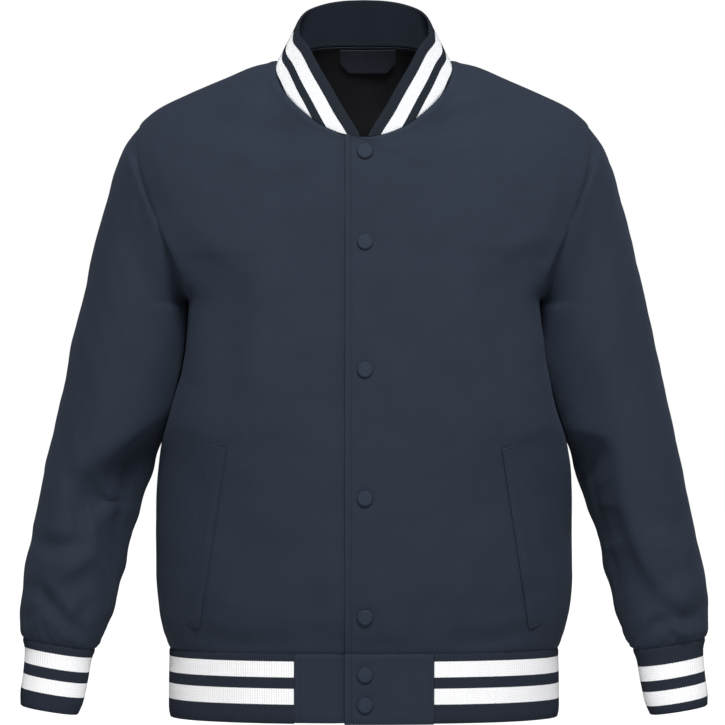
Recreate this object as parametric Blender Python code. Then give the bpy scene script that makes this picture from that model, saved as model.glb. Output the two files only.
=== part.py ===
"""Varsity jacket, filled out as if worn: woven shell, set-in sleeves, striped rib collar, cuffs and hem.

The jacket faces -Y, the wearer's left is +X and +Z is up.  The origin is between the shoulders at the
height of the neck points, where the wearer's shoulders and neck hold the garment up.  Sizes are in
millimetres and become metres when a mesh is made.  Every piece of cloth is a closed wall: a grid of points
on its outer face and the same points moved inwards by the cloth's thickness.
"""
import math

import bpy
import numpy as np
from mathutils import Vector

MM = 0.001

# ---- cloth and seams --------------------------------------------------------------------------------------
SHELL_WALL = 1.5          # woven shell
RIB_WALL = 2.6            # knitted rib, two layers
TAB_WALL = 2.6            # self-fabric tabs of the waistband, faced
WELT_WALL = 1.4           # pocket welt
LABEL_WALL = 0.8
SEAM_GAP = 0.4            # clear space between two pieces that meet at a seam
NECK_GAP = 0.8            # between the collar and the panels, measured up the collar
LAP_GAP = 1.3             # clear space between the two fronts where they overlap
WELT_GAP = 0.9            # between a welt and the front it lies on
LABEL_GAP = 2.0           # between the label and the inside of the back

# ---- body: one row for each horizontal section ------------------------------------------------------------
# Above the armpit the half width is that of the oval whose arc the chest and the back follow.
BODY_COLUMNS = ("height", "half_width", "front_depth", "back_depth", "side_y", "roundness")
BODY_ROWS = (
    (-694.0, 206.0, 127.0, 121.0, -2.0, 2.3),
    (-622.0, 206.0, 127.0, 121.0, -2.0, 2.3),
    (-604.0, 212.0, 131.0, 123.0, -2.0, 2.3),
    (-583.0, 216.5, 135.0, 124.0, -2.0, 2.3),
    (-541.0, 220.0, 138.0, 123.0, -2.0, 2.3),
    (-470.0, 220.0, 138.0, 119.0, -1.0, 2.3),
    (-413.0, 215.5, 137.0, 117.0, 0.0, 2.7),
    (-366.0, 202.0, 135.0, 117.0, 1.5, 4.0),
    (-307.0, 189.0, 133.0, 119.0, 3.0, 5.2),
    (-258.0, 185.5, 130.0, 121.0, 4.5, 5.0),
    (-233.0, 205.0, 128.0, 122.0, 5.0, 3.8),
    (-208.0, 237.0, 125.0, 122.0, 6.0, 2.9),
    (-150.0, 286.0, 120.0, 121.0, 7.0, 2.4),
    (-100.0, 335.0, 116.0, 118.0, 8.0, 2.3),
    (-70.0, 372.0, 114.0, 116.0, 8.0, 2.3),
    (70.0, 430.0, 112.0, 114.0, 8.0, 2.3),
)
BODY_ROUNDNESS = 2.3      # roundness of the hem; in an oval section 2 is an ellipse and more is squarer

# Shoulder line seen from the front; inside the neck it is only the crest that the neckline is cut from.
SHOULDER_COLUMNS = ("x", "height")
SHOULDER_ROWS = (
    (0.0, 50.0),
    (40.0, 37.0),
    (70.0, 15.0),
    (90.0, 0.0),
    (117.0, -6.5),
    (147.0, -19.0),
    (191.0, -38.0),
    (217.0, -51.0),
    (232.0, -63.0),
    (238.0, -70.0),
    (262.0, -110.0),
)
SHOULDER_ROUNDING = 217.0     # drop over which the body reaches its full depth
FRONT_SHOULDER_POWER = 2.0
BACK_SHOULDER_POWER = 2.2

# ---- outlines of the panels, seen from the front ----------------------------------------------------------
ARMPIT = -258.0
FRONT_NECK = ((0.0, -86.0), (21.5, -82.0), (43.0, -73.0), (60.0, -60.5), (77.0, -44.0), (88.0, -28.0),
              (93.0, -11.0), (90.0, 0.0))
BACK_NECK = ((0.0, 19.0), (20.0, 19.0), (40.0, 18.0), (60.0, 14.0), (80.0, 4.0), (90.0, 0.0))
ARMHOLE = ((185.5, -258.0), (187.5, -250.0), (191.5, -233.0), (201.0, -208.0), (213.5, -180.0),
           (225.0, -152.0), (233.5, -127.0), (239.0, -103.0), (240.0, -84.0), (238.0, -70.0))
ARMHOLE_CENTRE = (212.0, 8.0, -165.0)

FRONT_LAP = 19.5              # how far each front runs past the centre line
LAP_COLUMNS = (-19.5, 0.5, 21.0, 27.0)
LAP_RAMP = (21.0, 33.0)       # the under front sinks below the upper one between these distances
BODY_HEIGHTS = (-622.4, -612.0, -595.0, -565.0, -520.0, -470.0, -420.0, -375.0, -325.0)
FRONT_COLUMNS = 10            # columns between the lap and the side seam
CENTRE_ROWS = 5               # rows from the armpit's height to the neckline at the centre
BACK_SHOULDER_COLUMNS = 5     # columns of the back along each shoulder seam

# Large soft folds of the body, seen from the front with +X towards the piece's own side.
# columns: x0, z0, x1, z1, half_width, depth
LEFT_FRONT_FOLDS = (
    (54.0, -78.0, 141.0, -58.0, 15.0, 2.5),
    (172.0, -235.0, 152.0, -400.0, 20.0, 4.0),
    (198.0, -440.0, 206.0, -505.0, 14.0, 2.5),
)
RIGHT_FRONT_FOLDS = (
    (60.0, -77.0, 160.0, -62.0, 16.0, 2.5),
    (150.0, -240.0, 162.0, -410.0, 22.0, 4.5),
)
BACK_FOLDS = (
    (168.0, -240.0, 120.0, -380.0, 20.0, 3.5),
    (-165.0, -235.0, -110.0, -360.0, 22.0, 4.0),
    (-60.0, -560.0, 70.0, -575.0, 18.0, 2.0),
)

# ---- sleeve: one row for each ring, from the armhole to the cuff seam -------------------------------------
# The outer and the inner point of a ring are where the front view sees its two edges.
# columns: outer_x, outer_z, inner_x, inner_z, centre_y, half_depth
SLEEVE_ROWS = (
    (252.0, -90.0, 188.2, -262.0, 9.0, 77.0),
    (265.0, -118.0, 189.2, -267.5, 11.0, 77.0),
    (279.0, -174.0, 190.4, -280.0, 13.0, 76.0),
    (293.5, -235.0, 192.2, -304.0, 11.5, 75.0),
    (306.0, -287.0, 197.0, -336.0, 8.5, 74.0),
    (316.0, -335.0, 207.0, -370.0, 5.0, 72.0),
    (325.0, -376.0, 217.0, -400.0, 1.0, 70.0),
    (335.0, -423.0, 229.0, -447.0, -4.0, 66.5),
    (344.5, -473.0, 242.5, -497.0, -10.0, 63.0),
    (354.0, -517.0, 254.0, -540.0, -17.0, 59.0),
    (360.2, -558.0, 261.0, -570.0, -23.0, 55.0),
    (361.6, -583.0, 269.0, -594.0, -28.0, 51.0),
    (361.2, -598.0, 274.6, -608.5, -31.0, 45.5),
    (359.0, -610.0, 282.8, -622.0, -33.6, 38.2),
)
SLEEVE_ROUNDNESS = 2.2

# Large folds of the sleeve; turn is in degrees from the outer edge towards the front.
# columns: ring, turn, ring_spread, turn_spread, depth
SLEEVE_FOLDS = (
    (8.6, 118.0, 0.9, 26.0, 5.0),
    (7.0, 205.0, 0.8, 30.0, 5.0),
    (11.0, 95.0, 0.6, 34.0, 2.5),
)

# columns: outer_x, outer_z, inner_x, inner_z, centre_y, half_depth
CUFF_ROWS = (
    (358.8, -610.8, 283.1, -622.8, -33.8, 37.5),
    (356.4, -622.0, 287.2, -633.6, -35.3, 35.6),
    (358.2, -647.0, 290.8, -657.6, -38.5, 33.4),
    (361.0, -669.0, 295.4, -679.2, -41.0, 31.8),
    (360.2, -679.6, 300.6, -689.4, -42.5, 30.3),
)

# ---- collar: the free top edge, one point for each point of the neck seam, centre front to centre back ----
COLLAR_TOP = ((11.5, -93.0, -73.0), (22.5, -82.0, -55.0), (34.0, -69.0, -34.0), (48.5, -50.0, -8.5),
              (59.5, -29.0, 13.0), (70.0, -2.0, 29.0), (69.8, 18.0, 41.5), (63.5, 37.0, 53.0),
              (49.5, 52.0, 60.5), (33.4, 60.0, 65.0), (17.2, 64.0, 67.1), (0.0, 65.0, 67.8))
COLLAR_END = 5.0              # distance of each collar end from the centre line
COLLAR_END_TOP = (5.0, -98.0, -84.4)
COLLAR_LEVELS = (0.0, 0.25, 0.5, 0.75, 1.0)
COLLAR_BULGE = 1.0
COLLAR_MITRE = 0.35           # how steeply the collar's lower edge rises towards the neck

# ---- waistband --------------------------------------------------------------------------------------------
BAND_TOP = -623.0
BAND_BOTTOM = -693.5
BAND_LEVELS = 2
TAB_END = 72.4                # where the tabs end and the rib starts
TAB_COLUMNS = (-19.5, 0.5, 21.0, 33.0, 52.0, 72.4)
LEFT_TAB_BOTTOM = -694.4      # the upper tab hangs a little lower
RIGHT_TAB_BOTTOM = -692.8
BAND_FRONT_COLUMNS = 8
BAND_BACK_COLUMNS = 16

# ---- trim -------------------------------------------------------------------------------------------------
WELT_CORNERS = ((171.0, -597.0), (186.0, -592.6), (161.0, -406.0), (142.5, -410.0))
WELT_COLUMNS = 3
SNAP_X = 1.0
SNAP_HEIGHTS = (-101.0, -195.7, -328.2, -461.0, -583.6, -643.5, -675.0)
SNAP_PROFILE = ((5.4, 2.7), (7.2, 2.1), (8.0, 1.1), (7.9, 0.0))
SNAP_CROWN = 3.0
SNAP_SEGMENTS = 14
LABEL_CENTRE = 4.0
LABEL_HALF_WIDTHS = (24.5, 30.5, 30.5, 30.5)
LABEL_HEIGHTS = (-7.0, -1.0, 9.0, 17.4)
LABEL_COLUMNS = 6

# ---- colours, display values ------------------------------------------------------------------------------
NAVY_SHELL = (54, 61, 74)
NAVY_RIB = (44, 49, 60)
NAVY_SNAP = (62, 70, 84)
NAVY_LABEL = (29, 33, 43)
SHELL_ROUGHNESS = 0.62
RIB_ROUGHNESS = 0.85
SNAP_ROUGHNESS = 0.48


# ---- smooth tables and paths ------------------------------------------------------------------------------
def curve_value(knots, values, at):
    """Value at a position on the cubic line through the knots; its slopes never overshoot."""
    knots = np.asarray(knots, float)
    values = np.asarray(values, float)
    at = np.clip(np.asarray(at, float), knots[0], knots[-1])
    chords = np.diff(values) / np.diff(knots)
    before, after = chords[:-1], chords[1:]
    same_way = before * after > 0
    total = np.where(same_way, before + after, 1.0)
    inner = np.where(same_way, 2 * before * after / total, 0.0)
    slopes = np.concatenate(([chords[0]], inner, [chords[-1]]))
    index = np.clip(np.searchsorted(knots, at, side="right") - 1, 0, len(knots) - 2)
    width = knots[index + 1] - knots[index]
    t = (at - knots[index]) / width
    start = (1 + 2 * t) * (1 - t) ** 2 * values[index] + t * (1 - t) ** 2 * width * slopes[index]
    end = t * t * (3 - 2 * t) * values[index + 1] + t * t * (t - 1) * width * slopes[index + 1]
    return start + end


class Profile:
    """A table read at any position of its first column."""

    def __init__(self, columns, rows):
        data = np.array(rows, float)
        self.knots = data[:, 0]
        self.columns = {name: data[:, index] for index, name in enumerate(columns)}

    def at(self, column, position):
        return curve_value(self.knots, self.columns[column], position)


BODY = Profile(BODY_COLUMNS, BODY_ROWS)
SHOULDER = Profile(SHOULDER_COLUMNS, SHOULDER_ROWS)


def even_points(points, segments):
    """Points at even distances along the smooth line through the given points."""
    points = np.array(points, float)
    steps = np.linalg.norm(np.diff(points, axis=0), axis=1)
    length = np.concatenate(([0.0], np.cumsum(steps)))
    at = np.linspace(0.0, length[-1], segments + 1)
    return np.stack([curve_value(length, points[:, axis], at) for axis in range(points.shape[1])], axis=1)


def unit(vectors):
    return vectors / np.linalg.norm(vectors, axis=-1, keepdims=True)


# ---- the body's surface -----------------------------------------------------------------------------------
def fold_depth(x, z, folds):
    """How far the cloth sinks at a point, from the folds that run past it."""
    sunk = np.zeros(np.broadcast(x, z).shape)
    for x0, z0, x1, z1, half_width, depth in folds:
        length = math.hypot(x1 - x0, z1 - z0)
        along_x, along_z = (x1 - x0) / length, (z1 - z0) / length
        along = np.clip((x - x0) * along_x + (z - z0) * along_z, 0.0, length)
        distance = np.hypot(x - x0 - along * along_x, z - z0 - along * along_z)
        sunk = sunk + depth * np.exp(-(distance / half_width) ** 2)
    return sunk


def body_y(x, z, face, folds=()):
    """Depth of the body's surface seen at (x, z): face is -1 for the front and +1 for the back."""
    front = face < 0
    power = FRONT_SHOULDER_POWER if front else BACK_SHOULDER_POWER
    drop = np.clip((SHOULDER.at("height", np.abs(x)) - z) / SHOULDER_ROUNDING, 0.0, 1.0)
    below_shoulder = (1.0 - (1.0 - drop) ** power) ** (1.0 / power)
    reach = np.clip(np.abs(x) / BODY.at("half_width", z), 0.0, 1.0)
    roundness = BODY.at("roundness", z)
    inside_girth = (1.0 - reach ** roundness) ** (1.0 / roundness)
    fullness = below_shoulder * inside_girth
    depth = BODY.at("front_depth" if front else "back_depth", z) * fullness
    sunk = fold_depth(x, z, folds) * fullness
    return BODY.at("side_y", z) + face * (depth - sunk + SEAM_GAP / 2)


def on_body(x, z, face, folds=()):
    x, z = np.broadcast_arrays(np.asarray(x, float), np.asarray(z, float))
    return np.stack([x, body_y(x, z, face, folds), z], axis=-1)


def armhole_points(face, folds):
    """The armhole's edge on one panel, armpit first."""
    edge = even_points(ARMHOLE, len(FRONT_NECK) + CENTRE_ROWS)
    return on_body(edge[:, 0], edge[:, 1], face, folds)


def armhole_outward(points):
    """Directions away from the armhole's centre, in the plane of the armhole."""
    down = np.array(ARMHOLE[0])
    top = np.array(ARMHOLE[-1])
    rise = unit(np.array([top[0] - down[0], 0.0, top[1] - down[1]]))
    depth = np.array([0.0, 1.0, 0.0])
    offset = points - np.array(ARMHOLE_CENTRE)
    return unit((offset @ rise)[:, None] * rise + (offset @ depth)[:, None] * depth)


def armhole_axis():
    """Direction in which the sleeve leaves the armhole."""
    down = np.array(ARMHOLE[0])
    top = np.array(ARMHOLE[-1])
    return unit(np.array([top[1] - down[1], 0.0, down[0] - top[0]]))


# ---- walls ------------------------------------------------------------------------------------------------
def grid_normals(grid, wrap=False):
    """Outward directions of a grid whose columns run left to right and rows upwards, seen from outside."""
    if wrap:
        across = np.roll(grid, -1, axis=1) - np.roll(grid, 1, axis=1)
    else:
        across = np.gradient(grid, axis=1)
    return unit(np.cross(across, np.gradient(grid, axis=0)))


def lifted(grid, distance):
    return grid + grid_normals(grid) * distance


def without_depth(normals):
    """Directions of a seam between front and back: neither piece leans over the other."""
    flat = normals.copy()
    flat[..., 1] = 0.0
    return unit(flat)


def mirrored(grid):
    """The same piece on the wearer's right, still facing outwards."""
    return grid[:, ::-1] * np.array([-1.0, 1.0, 1.0])


def wall_faces(rows, columns, wrap):
    """Faces of a wall whose outer points come first and whose inner points follow."""
    inner = rows * columns
    spans = columns if wrap else columns - 1
    faces = []
    for row in range(rows - 1):
        for column in range(spans):
            a = row * columns + column
            b = row * columns + (column + 1) % columns
            faces.append((a, b, b + columns, a + columns))
            faces.append((inner + a, inner + a + columns, inner + b + columns, inner + b))
    top = (rows - 1) * columns
    for column in range(spans):
        following = (column + 1) % columns
        faces.append((inner + column, inner + following, following, column))
        faces.append((top + column, top + following, inner + top + following, inner + top + column))
    if not wrap:
        for row in range(rows - 1):
            left = row * columns
            right = left + columns - 1
            faces.append((left, left + columns, inner + left + columns, inner + left))
            faces.append((right + columns, right, inner + right, inner + right + columns))
    return faces


def material(name, display_colour, roughness, metallic=0.0):
    result = bpy.data.materials.new(name)
    result.use_nodes = True
    shader = result.node_tree.nodes["Principled BSDF"]
    linear = [((value / 255 + 0.055) / 1.055) ** 2.4 for value in display_colour]
    shader.inputs["Base Color"].default_value = (*linear, 1.0)
    shader.inputs["Roughness"].default_value = roughness
    shader.inputs["Metallic"].default_value = metallic
    return result


def add_object(name, mesh, finish, parent):
    mesh.shade_smooth()
    mesh.set_sharp_from_angle(angle=math.radians(40.0))
    piece = bpy.data.objects.new(name, mesh)
    piece.data.materials.append(finish)
    piece.parent = parent
    bpy.context.scene.collection.objects.link(piece)
    return piece


def add_wall(name, grid, thickness, finish, parent, wrap=False, normals=None):
    rows, columns = grid.shape[:2]
    if normals is None:
        normals = grid_normals(grid, wrap)
    points = np.concatenate([grid.reshape(-1, 3), (grid - normals * thickness).reshape(-1, 3)]) * MM
    mesh = bpy.data.meshes.new(name)
    mesh.from_pydata(points.tolist(), [], wall_faces(rows, columns, wrap))
    mesh.validate()
    return add_object(name, mesh, finish, parent)


# ---- fronts and back --------------------------------------------------------------------------------------
def column_fractions():
    """Share of a row's width at which each column of a front lies."""
    half_width = BODY_ROWS[4][1]
    lap = [(x + FRONT_LAP) / (half_width + FRONT_LAP) for x in LAP_COLUMNS]
    turn = np.linspace(0.0, math.pi / 2, FRONT_COLUMNS + 1)[1:]
    side = lap[-1] + (1.0 - lap[-1]) * np.sin(turn) ** (2.0 / BODY_ROUNDNESS)
    return np.concatenate([lap, side])


def front_rows():
    """Inner and outer end of each row of a front, seen from the front: side seam, then armhole."""
    rows = [((-FRONT_LAP, z), (float(BODY.at("half_width", z)), z)) for z in BODY_HEIGHTS]
    neck = np.array(FRONT_NECK)
    corner = curve_value(neck[:4, 0], neck[:4, 1], FRONT_LAP)
    inner = [(-FRONT_LAP, z) for z in np.linspace(ARMPIT, float(corner), CENTRE_ROWS + 1)]
    inner += list(FRONT_NECK)
    outer = even_points(ARMHOLE, len(inner) - 1)
    return rows + list(zip(inner, outer))


def lap_sink(x, wall):
    """How far the under piece lies below the upper one near the centre line."""
    ramp = np.clip((x - LAP_RAMP[0]) / (LAP_RAMP[1] - LAP_RAMP[0]), 0.0, 1.0)
    return (wall + LAP_GAP) * (1.0 - ramp * ramp * (3.0 - 2.0 * ramp))


def front_grid(folds, under):
    share = column_fractions()
    ends = front_rows()
    first_neck_row = len(BODY_HEIGHTS) + CENTRE_ROWS
    neck_rows = len(ends) - 1 - first_neck_row
    (seam_x0, seam_z0), (seam_x1, seam_z1) = ends[-1]
    seam_bow = SHOULDER.at("height", seam_x0 + (seam_x1 - seam_x0) * share) - seam_z0 - (seam_z1 - seam_z0) * share
    rows = []
    for number, ((x0, z0), (x1, z1)) in enumerate(ends):
        nearness = max(0.0, (number - first_neck_row) / neck_rows) ** 2
        x = x0 + (x1 - x0) * share
        z = z0 + (z1 - z0) * share + seam_bow * nearness
        row = on_body(x, z, -1, folds)
        if under:
            row[:, 1] += lap_sink(x, SHELL_WALL)
        rows.append(row)
    return np.array(rows)


def panel_normals(grid, outer_columns):
    """Normals of a front or the back, with seam directions along side seam, shoulder seam and armhole."""
    normals = grid_normals(grid)
    armhole_row = len(BODY_HEIGHTS)
    for column in outer_columns:
        side = np.sign(grid[0, column, 0])
        flip = np.array([side, 1.0, 1.0])
        normals[:, column] = without_depth(normals[:, column])
        edge = grid[armhole_row:, column] * flip
        normals[armhole_row:, column] = armhole_outward(edge) * flip
    return normals


def add_fronts(shell, parent):
    grids = {}
    for side, folds in (("left", LEFT_FRONT_FOLDS), ("right", RIGHT_FRONT_FOLDS)):
        grid = front_grid(folds, under=side == "right")
        normals = panel_normals(grid, [-1])
        normals[-1] = without_depth(normals[-1])
        grids[side] = grid
        if side == "right":
            grid, normals = mirrored(grid), mirrored(normals)
        add_wall(f"front_{side}", grid, SHELL_WALL, shell, parent, normals=normals)
    return grids


def back_half_rows():
    """Rows of one half of the back, centre to side, as points seen from the front."""
    neck_columns = len(BACK_NECK) - 1
    columns = neck_columns + BACK_SHOULDER_COLUMNS
    share = np.sin(np.linspace(0.0, math.pi / 2, columns + 1)) ** (2.0 / BODY_ROUNDNESS)
    rows = []
    for z in BODY_HEIGHTS:
        rows.append(np.stack([BODY.at("half_width", z) * share, np.full(columns + 1, z)], axis=1))
    shoulder_x = np.linspace(BACK_NECK[-1][0], ARMHOLE[-1][0], BACK_SHOULDER_COLUMNS + 1)[1:]
    shoulder = np.stack([shoulder_x, SHOULDER.at("height", shoulder_x)], axis=1)
    top = np.concatenate([np.array(BACK_NECK), shoulder])
    bottom = np.stack([ARMHOLE[0][0] * share, np.full(columns + 1, ARMPIT)], axis=1)
    edge = even_points(ARMHOLE, len(FRONT_NECK) + CENTRE_ROWS)
    for step, point in enumerate(edge):
        t = step / (len(edge) - 1)
        bow = point - ((1 - t) * edge[0] + t * edge[-1])
        rows.append((1 - t) * bottom + t * top + share[:, None] ** 2 * bow)
    return np.array(rows)


def add_back(shell, parent):
    half = back_half_rows()
    other = half[:, :0:-1] * np.array([-1.0, 1.0])
    flat = np.concatenate([other, half], axis=1)[:, ::-1]
    grid = on_body(flat[..., 0], flat[..., 1], 1, BACK_FOLDS)
    normals = panel_normals(grid, [0, -1])
    shoulder = slice(0, BACK_SHOULDER_COLUMNS + 1)
    normals[-1, shoulder] = without_depth(normals[-1, shoulder])
    normals[-1, ::-1][shoulder] = without_depth(normals[-1, ::-1][shoulder])
    add_wall("back", grid, SHELL_WALL, shell, parent, normals=normals)


# ---- sleeves and cuffs ------------------------------------------------------------------------------------
def oval_ring(row, turns):
    """One ring: turn 0 is its outer point and a quarter turn its front."""
    outer_x, outer_z, inner_x, inner_z, centre_y, half_depth = row
    power = 2.0 / SLEEVE_ROUNDNESS
    cosine, sine = np.cos(turns), np.sin(turns)
    across = np.sign(cosine) * np.abs(cosine) ** power
    depth = np.sign(sine) * np.abs(sine) ** power
    x = (outer_x + inner_x) / 2 + across * (outer_x - inner_x) / 2
    z = (outer_z + inner_z) / 2 + across * (outer_z - inner_z) / 2
    return np.stack([x, centre_y - depth * half_depth, z], axis=-1)


def armhole_ring(front_folds):
    """The armhole's edge as a ring: down the front from the shoulder, and up the back."""
    front = armhole_points(-1, front_folds)[::-1]
    back = armhole_points(1, BACK_FOLDS)
    seam = (front[0] + back[-1]) / 2
    armpit = (front[-1] + back[0]) / 2
    return np.concatenate([[seam], front[1:-1], [armpit], back[1:-1]])


def sleeve_sink(ring, turns):
    sunk = np.zeros(len(turns))
    for fold_ring, turn, ring_spread, turn_spread, depth in SLEEVE_FOLDS:
        away = (np.degrees(turns) - turn + 180.0) % 360.0 - 180.0
        sunk += depth * math.exp(-((ring - fold_ring) / ring_spread) ** 2) * np.exp(-(away / turn_spread) ** 2)
    return sunk


def sleeve_grid(front_folds):
    edge = armhole_ring(front_folds)
    turns = np.linspace(0.0, 2 * math.pi, len(edge), endpoint=False)
    rings = [edge + armhole_axis() * SEAM_GAP]
    for number, row in enumerate(SLEEVE_ROWS, start=1):
        ring = oval_ring(row, turns)
        centre = ring.mean(axis=0)
        rings.append(ring - unit(ring - centre) * sleeve_sink(number, turns)[:, None])
    grid = np.array(rings)
    normals = grid_normals(grid, wrap=True)
    normals[0] = armhole_outward(edge)
    return grid, normals


def add_sleeves(shell, rib, parent):
    for side, folds in (("left", LEFT_FRONT_FOLDS), ("right", RIGHT_FRONT_FOLDS)):
        grid, normals = sleeve_grid(folds)
        turns = np.linspace(0.0, 2 * math.pi, grid.shape[1], endpoint=False)
        cuff = np.array([oval_ring(row, turns) for row in CUFF_ROWS])
        if side == "right":
            grid, normals, cuff = mirrored(grid), mirrored(normals), mirrored(cuff)
        add_wall(f"sleeve_{side}", grid, SHELL_WALL, shell, parent, wrap=True, normals=normals)
        add_wall(f"cuff_{side}", cuff, RIB_WALL, rib, parent, wrap=True)


# ---- collar -----------------------------------------------------------------------------------------------
def neck_seam(folds):
    """The neck seam of one side, centre front to centre back."""
    start_z = float(curve_value([0.0, FRONT_NECK[1][0]], [FRONT_NECK[0][1], FRONT_NECK[1][1]], COLLAR_END))
    front = np.array(((COLLAR_END, start_z),) + FRONT_NECK[1:-1])
    back = np.array(BACK_NECK[::-1])
    points = np.concatenate([
        on_body(front[:, 0], front[:, 1], -1, folds),
        on_body(back[:, 0], back[:, 1], 1),
    ])
    return points


def half_collar(folds):
    """Rows of points from the neck seam up to the free edge, centre front to centre back."""
    seam = neck_seam(folds)
    top = np.array((COLLAR_END_TOP,) + COLLAR_TOP)
    seam = seam + unit(top - seam) * NECK_GAP
    rise = top - seam
    away = unit(seam * np.array([1.0, 1.0, 0.0]))
    height = np.linalg.norm(rise, axis=1)
    rows = []
    for level in COLLAR_LEVELS:
        bulge = COLLAR_BULGE * 4 * level * (1 - level) * height / height.max()
        rows.append(seam + rise * level + away * bulge[:, None])
    return np.array(rows)


def add_collar(rib, parent):
    left = half_collar(LEFT_FRONT_FOLDS)
    right = mirrored(half_collar(RIGHT_FRONT_FOLDS))
    grid = np.concatenate([left, right[:, 1:]], axis=1)
    normals = grid_normals(grid)
    normals[0] = unit(normals[0] - COLLAR_MITRE * unit(grid[1] - grid[0]))
    add_wall("collar_rib", grid, RIB_WALL, rib, parent, normals=normals)


# ---- waistband --------------------------------------------------------------------------------------------
def band_levels(bottom):
    return np.linspace(bottom, BAND_TOP, BAND_LEVELS + 1)


def band_rib_grid():
    """The rib from one tab round the back to the other."""
    rows = []
    for z in band_levels(BAND_BOTTOM):
        half_width = float(BODY.at("half_width", z))
        start = math.asin(((TAB_END + SEAM_GAP) / half_width) ** (BODY_ROUNDNESS / 2))
        front = np.linspace(start, math.pi / 2, BAND_FRONT_COLUMNS + 1)[:-1]
        back = np.linspace(math.pi / 2, 3 * math.pi / 2, BAND_BACK_COLUMNS + 1)
        front_x = half_width * np.sin(front) ** (2 / BODY_ROUNDNESS)
        back_x = half_width * np.sign(np.sin(back)) * np.abs(np.sin(back)) ** (2 / BODY_ROUNDNESS)
        left = on_body(front_x, z, -1)
        rear = on_body(back_x, z, 1)
        rows.append(np.concatenate([left, rear, left[::-1] * np.array([-1.0, 1.0, 1.0])]))
    return np.array(rows)


def tab_grid(bottom, under):
    rows = []
    for z in band_levels(bottom):
        x = np.array(TAB_COLUMNS)
        row = on_body(x, z, -1)
        if under:
            row[:, 1] += lap_sink(x, TAB_WALL)
        rows.append(row)
    return np.array(rows)


def add_waistband(shell, rib, parent):
    add_wall("waistband_rib", band_rib_grid(), RIB_WALL, rib, parent)
    left = tab_grid(LEFT_TAB_BOTTOM, under=False)
    right = mirrored(tab_grid(RIGHT_TAB_BOTTOM, under=True))
    add_wall("waistband_tab_left", left, TAB_WALL, shell, parent)
    add_wall("waistband_tab_right", right, TAB_WALL, shell, parent)


# ---- welts, snaps and label -------------------------------------------------------------------------------
def point_on_panel(grid, x, z):
    """The point of a panel's own faces seen at (x, z), below the armpit where its rows are level."""
    heights = grid[:len(BODY_HEIGHTS) + 1, 0, 2]
    row = int(np.clip(np.searchsorted(heights, z) - 1, 0, len(heights) - 2))
    t = (z - heights[row]) / (heights[row + 1] - heights[row])
    line = (1 - t) * grid[row] + t * grid[row + 1]
    return (x, float(np.interp(x, line[:, 0], line[:, 1])), z)


def welt_grid(panel):
    lower_inner, lower_outer, upper_outer, upper_inner = (np.array(corner) for corner in WELT_CORNERS)
    heights = [z for z in BODY_HEIGHTS if lower_inner[1] < z < upper_inner[1]]
    heights = [lower_inner[1], *heights, upper_inner[1]]
    rows = []
    for v in (np.array(heights) - lower_inner[1]) / (upper_inner[1] - lower_inner[1]):
        inner = (1 - v) * lower_inner + v * upper_inner
        outer = (1 - v) * lower_outer + v * upper_outer
        row = [(1 - u) * inner + u * outer for u in np.linspace(0.0, 1.0, WELT_COLUMNS + 1)]
        rows.append([point_on_panel(panel, x, z) for x, z in row])
    return lifted(np.array(rows), WELT_GAP + WELT_WALL)


def add_welts(panels, shell, parent):
    add_wall("pocket_welt_left", welt_grid(panels["left"]), WELT_WALL, shell, parent)
    add_wall("pocket_welt_right", mirrored(welt_grid(panels["right"])), WELT_WALL, shell, parent)


def snap_mesh():
    """A low round cap, turned about +Z, with a flat underside at zero."""
    mesh = bpy.data.meshes.new("snap_cap")
    points = [(0.0, 0.0, SNAP_CROWN)]
    for radius, height in SNAP_PROFILE:
        for step in range(SNAP_SEGMENTS):
            turn = 2 * math.pi * step / SNAP_SEGMENTS
            points.append((radius * math.cos(turn), radius * math.sin(turn), height))
    faces = []
    for step in range(SNAP_SEGMENTS):
        following = (step + 1) % SNAP_SEGMENTS
        faces.append((0, 1 + step, 1 + following))
        for ring in range(len(SNAP_PROFILE) - 1):
            upper = 1 + ring * SNAP_SEGMENTS
            lower = upper + SNAP_SEGMENTS
            faces.append((upper + step, lower + step, lower + following, upper + following))
    last = 1 + (len(SNAP_PROFILE) - 1) * SNAP_SEGMENTS
    faces.append(tuple(last + step for step in reversed(range(SNAP_SEGMENTS))))
    mesh.from_pydata((np.array(points) * MM).tolist(), [], faces)
    return mesh


def add_snaps(finish, parent):
    mesh = snap_mesh()
    span = 6.0
    for number, z in enumerate(SNAP_HEIGHTS, start=1):
        patch = on_body(np.array([[SNAP_X - span, SNAP_X, SNAP_X + span]] * 3),
                        np.array([[z - span] * 3, [z] * 3, [z + span] * 3]), -1)
        normal = grid_normals(patch)[1, 1]
        cap = add_object(f"snap_{number}", mesh if number == 1 else mesh.copy(), finish, parent)
        cap.location = Vector(((patch[1, 1] + normal * SEAM_GAP) * MM).tolist())
        cap.rotation_mode = "QUATERNION"
        cap.rotation_quaternion = Vector(normal.tolist()).to_track_quat("Z", "Y")


def label_grid():
    """A blank label on the inside of the back; it faces the front."""
    rows = []
    for z, half_width in zip(LABEL_HEIGHTS, LABEL_HALF_WIDTHS):
        x = np.linspace(-half_width, half_width, LABEL_COLUMNS + 1) + LABEL_CENTRE
        rows.append(on_body(x, z, 1))
    return lifted(np.array(rows), SHELL_WALL + LABEL_GAP + LABEL_WALL)


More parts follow.
